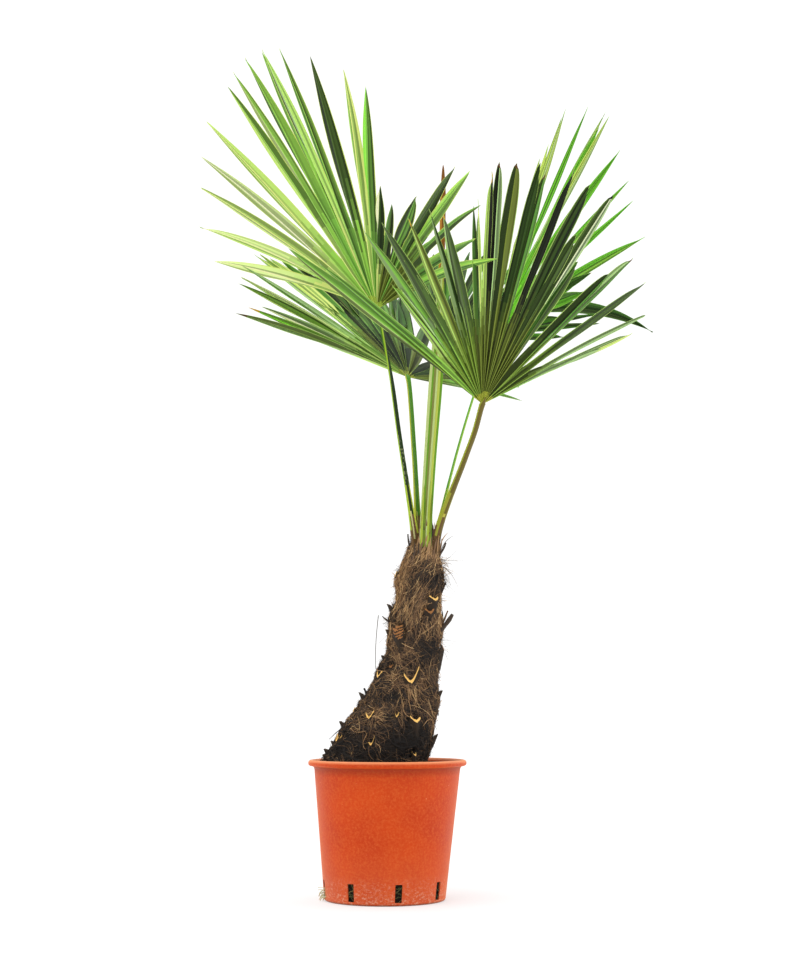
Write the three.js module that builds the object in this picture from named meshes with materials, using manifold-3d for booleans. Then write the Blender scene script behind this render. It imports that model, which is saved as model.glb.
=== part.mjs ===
// A windmill palm in a plastic nursery pot, in millimetres, +Z up.
// The origin is the centre of the pot's flat underside.
import * as THREE from "three";
import { mergeVertices } from "three/addons/utils/BufferGeometryUtils.js";
import Module from "manifold-3d";

const wasm = await Module();
wasm.setup();

// ---------------------------------------------------------------- driving dimensions

const GAP = 0.3; // clearance between pieces that rest against each other

const POT = {
  height: 240,
  rimRadius: 138.5,
  rimDepth: 11, // height of the rolled rim
  topRadius: 128, // body just under the rim
  footRadius: 105,
  footRound: 3,
  wall: 2.6,
  floor: 3,
  lean: 0.018, // the pot leans this much to +X for each millimetre up
  segments: 64,
};

const SLOT = { count: 8, first: -77, width: 12, bottom: 6, top: 36 };

const SOIL_BELOW_RIM = 14;

// Height above the pot's underside, centre in X, half width, half depth. The stem sweeps up from
// the left of the pot into an upright top.
const TRUNK = [
  [226.4, -13, 95, 74],
  [253, -8, 87, 70],
  [289, 7, 79, 64],
  [335, 18, 73, 58],
  [382, 40, 57, 50],
  [422, 53, 49, 46],
  [500, 53, 46, 43],
  [564, 60, 42, 39],
  [614, 71, 35, 34],
  [641, 78, 33, 32],
];
const TRUNK_SIDES = 20;

// Cut leaf bases: height above the underside, bearing in degrees from +X, how far each stands out.
const STUB = { width: 26, height: 24, thickness: 9, sink: 12, depth: 20, drop: 12, tilt: 52 };
const STUBS = [
  [257, 186, 12],
  [273, 118, 10],
  [291, 238, 9],
  [313, 20, 8],
  [343, 172, 10],
  [365, 312, 8],
  [393, 75, 9],
  [431, 205, 9],
  [447, 10, 12],
  [477, 140, 9],
  [483, 6, 14],
  [509, 188, 11],
  [539, 60, 9],
  [581, 120, 8],
];

const BLADE = {
  thickness: 1.6,
  widest: 11, // half the width of a leaflet
  fill: 0.42, // the most of the space to the next leaflet that half a leaflet takes up
  middle: 0.62, // where along its length a leaflet is widest
  shoulder: 0.86, // where its tip begins
  shoulderWidth: 0.55,
  turnJitter: 1.1, // degrees
  leastStep: 1, // the least angle between two leaflets, in degrees
  reachJitter: 0.03,
};

// Half widths at the foot, from mid-height and at the end, which stops short of the hub.
const PETIOLE = { base: 6.2, top: 3.6, tip: 2.2, short: 0.85, flat: 0.72, sides: 8, steps: 10 };

// Each frond: its stalk from the crown of the stem to the hub, the way its blade faces (bearing and
// rise of the middle leaflet, then roll, cupping and droop), and its leaflets. turn and reach give
// a leaflet's angle in degrees and length in millimetres at even steps across the blade. For single
// leaflets, cut is a share of the length, aim a further turn, and sag how far the tip hangs down.
const FRONDS = [
  {
    name: "a", colour: 0x8cbb45, seed: 104, count: 22,
    stalk: [[51, -14, 641.3], [26, -26, 802], [8, -29, 928], [-15, -32, 1038]],
    bearing: -115.5, rise: 50, roll: 27.4, cup: -2, droop: 0.13, split: 0.42,
    turn: [77, 48, 16, 5, -18, -34, -49, -61],
    reach: [450, 470, 480, 535, 530, 510, 535, 440],
    cut: {
      0: 0.99, 5: 0.99, 6: 1.01, 8: 1.02, 10: 0.99, 11: 0.98, 14: 0.63,
      15: 0.6, 16: 0.74, 17: 0.98, 18: 1.01, 19: 1.01, 20: 0.95, 21: 1.03,
    },
    aim: {
      3: -0.7, 4: 0.9, 5: -2.2, 6: 1.3, 7: -0.6, 8: -1.9, 10: 1.1, 11: 0.6,
      12: -0.6, 14: 0.6, 16: -1.2, 17: -1.1, 18: 0.8, 19: 0.5, 20: 1.2, 
    },
  },
  {
    name: "b", colour: 0x5f9632, seed: 50, count: 23,
    stalk: [[59, 8, 641.3], [51, 20, 791], [40, 40, 928]],
    bearing: 112, rise: 36, roll: -14.5, cup: 5.3, droop: 0.06, split: 0.4,
    turn: [-93, -68, -40, -32, -14, 10, 42, 77],
    reach: [360, 345, 420, 385, 400, 410, 380, 285],
    cut: { 0: 1.01, 1: 0.98, 2: 0.88, 3: 1.02, 4: 1.01, 16: 1.04, 17: 1.12, 18: 1.1 },
    aim: {
      0: 0.5, 1: -0.4, 2: 1.1, 3: 1.9, 4: -1.5, 6: 5.5,
      7: 3.9, 14: 1, 15: 2, 16: 2.5, 17: -10.5, 18: -9, 19: -1,
    },
  },
  {
    name: "c", colour: 0x4a5a38, seed: 251, count: 28,
    stalk: [[94, -12, 641.3], [138, -100, 756], [154, -160, 797], [165, -198, 836]],
    bearing: -67, rise: 39, roll: -7, cup: 14, droop: 0.066, split: 0.4,
    turn: [58, 43, 34, 18, 8, -6, -23, -49, -72],
    reach: [450, 390, 405, 370, 450, 415, 415, 360, 300],
    cut: {
      0: 1.04, 1: 0.97, 2: 0.75, 3: 0.73, 4: 1.03, 5: 1.03, 6: 0.83, 7: 0.98, 9: 0.97, 11: 0.92,
      12: 1.02, 14: 1.01, 16: 0.98, 17: 1.04, 19: 0.78, 20: 1.01, 21: 0.69, 22: 0.8, 23: 0.98,
      25: 1.04, 26: 1.02, 27: 0.85,
    },
    aim: {
      1: 1.0, 2: -3.2, 3: -0.5, 4: 1.8, 6: 2.8, 7: 1.6, 9: 0.9, 11: 0.5, 12: 0.9, 13: 1.5,
      14: 1.8, 16: 0.7, 17: -0.6, 20: 1.6, 21: 4.6, 22: -3.0, 23: 2.3, 24: -0.9, 25: -6.0,
      26: -4.0, 27: 3.5,
    },
  },
  {
    name: "d", colour: 0x4c9a20, seed: 187, count: 15,
    stalk: [[93, 10, 641.3], [124, 30, 770], [158, 65, 888], [206, 120, 1035]],
    bearing: -36.5, rise: 45.9, roll: -62, cup: 1.7, droop: 0.079, split: 0.36,
    turn: [-43, -36, -23, -14, 12, 31, 40],
    reach: [355, 475, 440, 440, 380, 435, 375],
    cut: { 0: 1.02, 1: 0.96, 3: 1.01, 4: 1.01, 5: 0.99, 9: 1.01, 10: 0.98, 12: 0.55, 13: 0.7, 14: 0.7 },
    aim: {
      0: 3.1, 1: 1.8, 3: -2.6, 4: 1.0, 5: 5.2, 6: 0.8,
      8: -0.8, 9: 2.6, 10: 2.5, 11: 5.7, 13: -2.6,
    },
  },
  {
    name: "e", colour: 0x2f5a26, seed: 9, count: 18,
    stalk: [[77, 18, 641.3], [87, 22, 769], [97, 34, 891], [103, 82, 951], [105, 150, 1004]],
    bearing: 70, rise: 42, roll: -10, cup: 5, droop: 0.1, split: 0.4,
    turn: [-32, -20, -6, 10, 25, 40, 56, 71],
    reach: [320, 345, 370, 385, 385, 370, 350, 400],
    cut: { 9: 0.88, 10: 0.82, 11: 0.78, 12: 0.75, 13: 1.33, 14: 0.7, 15: 0.9, 16: 0.84, 17: 0.6 },
    aim: { 15: -2, 16: -3, 17: -2.5 },
    sag: { 13: 112 },
  },
];

// The unopened leaf: a stalk that carries a folded blade, as centre points and half widths.
const SPEAR = [
  [72, 0, 641.3, 6.5],
  [80, 5, 771, 7.5],
  [91, 9, 918, 10],
  [97, 12, 1021, 9],
  [102, 15, 1151, 6],
  [104.5, 18, 1261, 4.5],
  [105, 20, 1321, 1.6],
];
const SPEAR_FLAT = 0.6;

// ---------------------------------------------------------------- helpers

const radians = THREE.MathUtils.degToRad;

function material(colour, roughness) {
  return new THREE.MeshStandardMaterial({ color: colour, roughness, metalness: 0 });
}

/** A repeatable number from -1 to 1 for a seed and an index. */
function jitter(seed, index) {
  const wave = Math.sin(index * 12.9898 + seed * 78.233) * 43758.5453;
  return 2 * (wave - Math.floor(wave)) - 1;
}

/** The value at share u (0 to 1) of evenly spaced values, with straight lines between them. */
function along(values, u) {
  const place = u * (values.length - 1);
  const i = Math.min(Math.floor(place), values.length - 2);
  return THREE.MathUtils.lerp(values[i], values[i + 1], place - i);
}

function geometryOf(vertices, triangles) {
  const geometry = new THREE.BufferGeometry();
  const flat = vertices.flatMap((v) => [v.x, v.y, v.z]);
  geometry.setAttribute("position", new THREE.Float32BufferAttribute(flat, 3));
  geometry.setIndex(triangles.flat());
  return geometry;
}

/** Turns the faces of a closed shape outwards. */
function outwards(vertices, triangles) {
  let volume = 0;
  for (const [a, b, c] of triangles) {
    volume += vertices[a].dot(new THREE.Vector3().crossVectors(vertices[b], vertices[c]));
  }
  return volume < 0 ? triangles.map(([a, b, c]) => [a, c, b]) : triangles;
}

/** A closed body through rings of equal count, with a flat cap at each end. */
function loft(rings) {
  const count = rings[0].length;
  const vertices = rings.flat();
  const triangles = [];
  for (let r = 0; r < rings.length - 1; r++) {
    for (let i = 0; i < count; i++) {
      const a = r * count + i;
      const b = r * count + ((i + 1) % count);
      triangles.push([a, b, b + count], [a, b + count, a + count]);
    }
  }
  for (const [ring, flip] of [[0, true], [rings.length - 1, false]]) {
    const centre = vertices.length;
    const sum = rings[ring].reduce((s, v) => s.add(v), new THREE.Vector3());
    vertices.push(sum.divideScalar(count));
    for (let i = 0; i < count; i++) {
      const a = ring * count + i;
      const b = ring * count + ((i + 1) % count);
      triangles.push(flip ? [centre, b, a] : [centre, a, b]);
    }
  }
  return geometryOf(vertices, outwards(vertices, triangles));
}

function solidOf(geometry) {
  const plain = geometry.clone();
  plain.deleteAttribute("normal");
  plain.deleteAttribute("uv");
  const merged = mergeVertices(plain, 1e-4);
  return new wasm.Manifold(new wasm.Mesh({
    numProp: 3,
    vertProperties: new Float32Array(merged.attributes.position.array),
    triVerts: new Uint32Array(merged.index.array),
  }));
}

function geometryFrom(solid) {
  const mesh = solid.getMesh();
  const geometry = new THREE.BufferGeometry();
  geometry.setAttribute("position", new THREE.Float32BufferAttribute(mesh.vertProperties, 3));
  geometry.setIndex(Array.from(mesh.triVerts));
  return geometry;
}

// ---------------------------------------------------------------- pot and soil

/** The radius of the pot's outer wall at a height. */
function potRadius(z) {
  return THREE.MathUtils.lerp(POT.footRadius, POT.topRadius, z / (POT.height - POT.rimDepth));
}

/** Leans a geometry to +X with height, which keeps the underside flat. */
function leaned(geometry) {
  const shear = new THREE.Matrix4().makeShear(0, 0, 0, 0, 0, 0);
  shear.elements[8] = POT.lean;
  return geometry.applyMatrix4(shear);
}

function turned(profile) {
  const points = profile.map(([radius, z]) => new THREE.Vector2(radius, z));
  const geometry = new THREE.LatheGeometry(points, POT.segments);
  return leaned(geometry.rotateX(Math.PI / 2));
}

function potGeometry() {
  const { height, rimRadius, rimDepth, topRadius, footRadius, footRound, wall, floor } = POT;
  const under = height - rimDepth;
  const shell = solidOf(turned([
    [0, 0],
    [footRadius - footRound, 0],
    [footRadius, footRound],
    [topRadius, under],
    [rimRadius - 3, under],
    [rimRadius, under + 3],
    [rimRadius, height - 4],
    [rimRadius - 4, height],
    [rimRadius - 10, height],
    [topRadius - wall, under],
    [footRadius - wall, floor],
    [0, floor],
  ]));
  let pot = shell;
  const middle = (SLOT.bottom + SLOT.top) / 2;
  for (let i = 0; i < SLOT.count; i++) {
    const cutter = new THREE.BoxGeometry(SLOT.width, 20, SLOT.top - SLOT.bottom);
    cutter.translate(0, -potRadius(middle), middle);
    cutter.rotateZ(radians(SLOT.first + (i * 360) / SLOT.count));
    pot = pot.subtract(solidOf(leaned(cutter)));
  }
  return geometryFrom(pot);
}

function soilGeometry() {
  const top = POT.height - SOIL_BELOW_RIM;
  const bottom = POT.floor + GAP;
  const inside = (z) => potRadius(z) - POT.wall - 2 * GAP;
  return turned([[0, bottom], [inside(bottom), bottom], [inside(top), top], [0, top]]);
}

// ---------------------------------------------------------------- stem

/** Centre and half widths of the stem at a height. */
function stemAt(z) {
  let i = 0;
  while (i < TRUNK.length - 2 && z > TRUNK[i + 1][0]) i++;
  const u = (z - TRUNK[i][0]) / (TRUNK[i + 1][0] - TRUNK[i][0]);
  return [1, 2, 3].map((k) => THREE.MathUtils.lerp(TRUNK[i][k], TRUNK[i + 1][k], u));
}

function trunkGeometry() {
  const rings = TRUNK.map(([z, x, halfWidth, halfDepth], row) => {
    const ring = [];
    for (let i = 0; i < TRUNK_SIDES; i++) {
      const turn = (2 * Math.PI * i) / TRUNK_SIDES;
      const swell = 1 + 0.03 * jitter(row, i);
      const sideways = halfWidth * swell * Math.cos(turn);
      ring.push(new THREE.Vector3(x + sideways, halfDepth * swell * Math.sin(turn), z));
    }
    return ring;
  });
  let trunk = solidOf(loft(rings));
  for (const stub of STUBS) trunk = trunk.add(solidOf(stubGeometry(...stub)));
  return geometryFrom(trunk);
}

/** A cut leaf base: a flat wedge that leaves the stem upwards and outwards. */
function stubGeometry(z, bearing, out) {
  const [x, halfWidth, halfDepth] = stemAt(z);
  const turn = radians(bearing);
  const length = STUB.sink + STUB.height + out;
  const wedge = new THREE.BoxGeometry(STUB.thickness, STUB.width, length);
  wedge.translate(0, 0, length / 2 - STUB.sink);
  wedge.rotateY(radians(90 - STUB.tilt));
  const surface = Math.hypot(halfWidth * Math.cos(turn), halfDepth * Math.sin(turn));
  wedge.translate(surface - STUB.depth, 0, -STUB.drop);
  wedge.rotateZ(turn);
  return wedge.translate(x, 0, z);
}

// ---------------------------------------------------------------- fronds

function stalkCurve(points) {
  return new THREE.CatmullRomCurve3(points.map((p) => new THREE.Vector3(...p)), false, "centripetal");
}

/** A tapering limb along a curve: half width and half thickness by share of its length. */
function limb(curve, halfWidth, halfThickness, steps, sides) {
  const rings = [];
  const up = new THREE.Vector3(0, 1, 0);
  for (let s = 0; s <= steps; s++) {
    const u = s / steps;
    const middle = curve.getPointAt(u);
    const forward = s === 0 ? new THREE.Vector3(0, 0, 1) : curve.getTangentAt(u);
    const side = new THREE.Vector3().crossVectors(up, forward).normalize();
    const back = new THREE.Vector3().crossVectors(forward, side).normalize();
    const ring = [];
    for (let i = 0; i < sides; i++) {
      const turn = (2 * Math.PI * (i + 0.5)) / sides;
      ring.push(middle.clone()
        .addScaledVector(side, halfWidth(u) * Math.cos(turn))
        .addScaledVector(back, halfThickness(u) * Math.sin(turn)));
    }
    rings.push(ring);
  }
  return loft(rings);
}

function petioleGeometry(frond) {
  const full = stalkCurve(frond.stalk);
  const length = full.getLength();
  const end = 1 - PETIOLE.short / length;
  const curve = stalkCurve([...Array(PETIOLE.steps + 1).keys()]
    .map((i) => full.getPointAt((end * i) / PETIOLE.steps).toArray()));
  const width = (u) => {
    const taper = THREE.MathUtils.lerp(PETIOLE.base, PETIOLE.top, Math.min(1, u * 1.6));
    return u === 1 ? PETIOLE.tip : taper;
  };
  return limb(curve, width, (u) => width(u) * PETIOLE.flat, PETIOLE.steps, PETIOLE.sides);
}

/** The blade's axes: along the middle leaflet, across to its right, and out of its upper side. */
function bladeFrame(frond) {
  const bearing = radians(frond.bearing);
  const rise = radians(frond.rise);
  const roll = radians(frond.roll);
  const forward = new THREE.Vector3(
    Math.cos(rise) * Math.cos(bearing),
    Math.cos(rise) * Math.sin(bearing),
    Math.sin(rise),
  );
  const level = new THREE.Vector3(forward.y, -forward.x, 0).normalize();
  const top = new THREE.Vector3().crossVectors(level, forward);
  const right = level.multiplyScalar(Math.cos(roll)).addScaledVector(top, Math.sin(roll));
  const normal = new THREE.Vector3().crossVectors(right, forward);
  return { forward, right, normal };
}

/** The leaflets of a frond as angle, length and sag, in order across the blade. */
function leaflets(frond) {
  const fan = [...Array(frond.count).keys()].map((i) => {
    const u = i / (frond.count - 1);
    const even = along(frond.turn, u) + BLADE.turnJitter * jitter(frond.seed, i);
    const reach = along(frond.reach, u) * (1 + BLADE.reachJitter * jitter(frond.seed + 50, i));
    return {
      turn: even + (frond.aim[i] ?? 0),
      reach: reach * (frond.cut[i] ?? 1),
      sag: frond.sag?.[i] ?? 0,
    };
  });
  const sign = Math.sign(frond.turn.at(-1) - frond.turn[0]);
  fan.sort((a, b) => sign * (a.turn - b.turn));
  for (let i = 1; i < fan.length; i++) {
    const step = Math.max(BLADE.leastStep, sign * (fan[i].turn - fan[i - 1].turn));
    fan[i].turn = fan[i - 1].turn + sign * step;
  }
  return fan;
}

/**
 * A blade: one thin closed body, joined round the hub and split into leaflets further out.
 * Every point of its outline is made twice, on the upper and the lower side.
 */
function bladeGeometry(frond) {
  const { forward, right, normal } = bladeFrame(frond);
  const hub = new THREE.Vector3(...frond.stalk.at(-1));
  const cup = radians(frond.cup);
  const fan = leaflets(frond);
  const upper = [];
  const lower = [];

  const place = (turn, radius, reach, sideways, sag = 0) => {
    const angle = radians(turn);
    const flat = forward.clone().multiplyScalar(Math.cos(angle))
      .addScaledVector(right, Math.sin(angle));
    const across = forward.clone().multiplyScalar(-Math.sin(angle))
      .addScaledVector(right, Math.cos(angle));
    const out = flat.multiplyScalar(Math.cos(cup)).addScaledVector(normal, Math.sin(cup));
    const lift = new THREE.Vector3().crossVectors(across, out).normalize();
    const fall = (frond.droop * radius * radius * (1 - out.z * out.z)) / reach;
    const point = hub.clone().addScaledVector(out, radius).addScaledVector(across, sideways);
    const free = Math.max(0, (radius / reach - frond.split) / (1 - frond.split));
    point.z -= fall + sag * free * free;
    upper.push(point.clone().addScaledVector(lift, BLADE.thickness / 2));
    lower.push(point.clone().addScaledVector(lift, -BLADE.thickness / 2));
    return upper.length - 1;
  };

  const centre = place(0, 0, 1, 0);
  const step = (fan.at(-1).turn - fan[0].turn) / (fan.length - 1);
  const sign = Math.sign(step);
  const notch = (k) => {
    const before = fan[Math.max(k - 1, 0)];
    const after = fan[Math.min(k, fan.length - 1)];
    let turn = (before.turn + after.turn) / 2;
    if (k === 0) turn -= step / 2;
    if (k === fan.length) turn += step / 2;
    const reach = (before.reach + after.reach) / 2;
    return place(turn, frond.split * reach, reach, 0);
  };

  const triangles = [];
  const outline = [centre];
  let near = notch(0);
  fan.forEach(({ turn, reach, sag }, i) => {
    const before = i > 0 ? Math.abs(turn - fan[i - 1].turn) : Math.abs(step);
    const after = i < fan.length - 1 ? Math.abs(fan[i + 1].turn - turn) : Math.abs(step);
    const space = radians(Math.min(before, after)) * reach * BLADE.middle;
    const half = Math.min(BLADE.widest, BLADE.fill * space);
    const narrow = half * BLADE.shoulderWidth;
    const first = place(turn, reach * BLADE.middle, reach, -sign * half, sag);
    const second = place(turn, reach * BLADE.shoulder, reach, -sign * narrow, sag);
    const tip = place(turn, reach, reach, 0, sag);
    const third = place(turn, reach * BLADE.shoulder, reach, sign * narrow, sag);
    const fourth = place(turn, reach * BLADE.middle, reach, sign * half, sag);
    const far = notch(i + 1);
    outline.push(near, first, second, tip, third, fourth);
    triangles.push([centre, near, far], [near, first, fourth], [near, fourth, far]);
    triangles.push([first, second, third], [first, third, fourth], [second, tip, third]);
    near = far;
  });
  outline.push(near);

  const below = upper.length;
  const sides = outline.flatMap((from, i) => {
    const to = outline[(i + 1) % outline.length];
    return [[from, from + below, to + below], [from, to + below, to]];
  });
  const underneath = triangles.map(([a, b, c]) => [a + below, c + below, b + below]);
  const vertices = [...upper, ...lower];
  return geometryOf(vertices, outwards(vertices, [...triangles, ...underneath, ...sides]));
}

function spearGeometry() {
  const curve = stalkCurve(SPEAR.map((p) => p.slice(0, 3)));
  const widths = SPEAR.map((p) => p[3]);
  const steps = 2 * (SPEAR.length - 1);
  const levels = SPEAR.map((p) => (p[2] - SPEAR[0][2]) / (SPEAR.at(-1)[2] - SPEAR[0][2]));
  const width = (u) => {
    let i = 0;
    while (i < levels.length - 2 && u > levels[i + 1]) i++;
    const share = (u - levels[i]) / (levels[i + 1] - levels[i]);
    return THREE.MathUtils.lerp(widths[i], widths[i + 1], share);
  };
  return limb(curve, width, (u) => width(u) * SPEAR_FLAT, steps, PETIOLE.sides);
}

// ---------------------------------------------------------------- the plant

const palm = new THREE.Group();

function add(name, geometry, finish) {
  const mesh = new THREE.Mesh(geometry, finish);
  mesh.name = name;
  palm.add(mesh);
}

add("pot", potGeometry(), material(0xd2552b, 0.5));
add("soil", soilGeometry(), material(0x2b1d14, 1));
add("trunk", trunkGeometry(), material(0x3a2c22, 1));
for (const frond of FRONDS) {
  add(`petiole_${frond.name}`, petioleGeometry(frond), material(0x7c9a3c, 0.5));
  add(`blade_${frond.name}`, bladeGeometry(frond), material(frond.colour, 0.55));
}
add("spear_leaf", spearGeometry(), material(0x8aa352, 0.5));

export default palm;
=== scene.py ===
"""The looks of a windmill palm in a nursery pot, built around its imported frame.

Lengths are in millimetres until a mesh is made. +X is to the right, +Y is away from the viewer and
+Z is up, from the centre of the pot's flat underside.
"""

import math

import bpy
import numpy as np
from mathutils import Euler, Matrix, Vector


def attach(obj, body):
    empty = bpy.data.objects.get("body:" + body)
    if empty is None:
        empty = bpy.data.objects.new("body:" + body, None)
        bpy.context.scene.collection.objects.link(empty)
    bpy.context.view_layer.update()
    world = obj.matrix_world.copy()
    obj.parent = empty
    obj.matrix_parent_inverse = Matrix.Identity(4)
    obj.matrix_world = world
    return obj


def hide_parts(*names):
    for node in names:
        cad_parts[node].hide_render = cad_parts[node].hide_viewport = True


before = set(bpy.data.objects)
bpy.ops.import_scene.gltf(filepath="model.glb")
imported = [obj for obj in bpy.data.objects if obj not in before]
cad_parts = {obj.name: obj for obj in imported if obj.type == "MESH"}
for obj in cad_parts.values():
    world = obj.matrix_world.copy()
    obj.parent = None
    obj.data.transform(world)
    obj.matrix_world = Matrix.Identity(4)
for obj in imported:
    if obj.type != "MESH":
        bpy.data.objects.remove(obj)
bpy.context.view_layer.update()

MM = 0.001


# ------------------------------------------------------------------------------------ sizes

CAMERA = {"place": (35, -3000, 341), "pitch": 7.15, "lens": 62.32}

POT = {
    "height": 240, "rim": 138.5, "top": 128, "foot": 105, "under_rim": 229, "wall": 2.6, "lean": 0.018,
}
SLOTS = {"count": 8, "first": -77, "width": 12, "bottom": 6, "top": 36}
SOIL_TOP = 226

# Height, centre in X, half width and half depth of the stem under its fibre.
STEM = np.array([
    [226.4, -20, 92, 72], [241, -16, 89, 71], [260, -7, 86, 69], [297, 7, 79, 64], [335, 24, 68, 58],
    [369, 35, 58, 51], [406, 43, 50, 47], [429, 50, 45, 43], [452, 53.5, 46.5, 44], [482, 54, 45, 43],
    [505, 56, 41.5, 40], [520, 58, 37.5, 36.5], [534, 59, 36, 35], [550, 60.5, 40.5, 38],
    [563, 61.5, 41.5, 37], [577, 63, 37, 33], [592, 64.5, 32, 27], [606, 67, 28, 20],
    [619, 69, 24, 14], [632, 70.5, 18, 10], [644, 72, 10, 6],
])
STEM_FOOT, STEM_TOP = 226.4, 644
STEM_CENTRE = (72, 0)

NEVER = 99              # past the last leaflet
FROND_HABITS = {        # what a frond has unless its own row below says otherwise
    "tips": {}, "dry": 0.97, "ends": 0.4, "straps": NEVER, "shaded": NEVER, "calm": 0, "sag": {},
    "stalk_roll": 0, "flecks": (0, 0),
}

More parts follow.
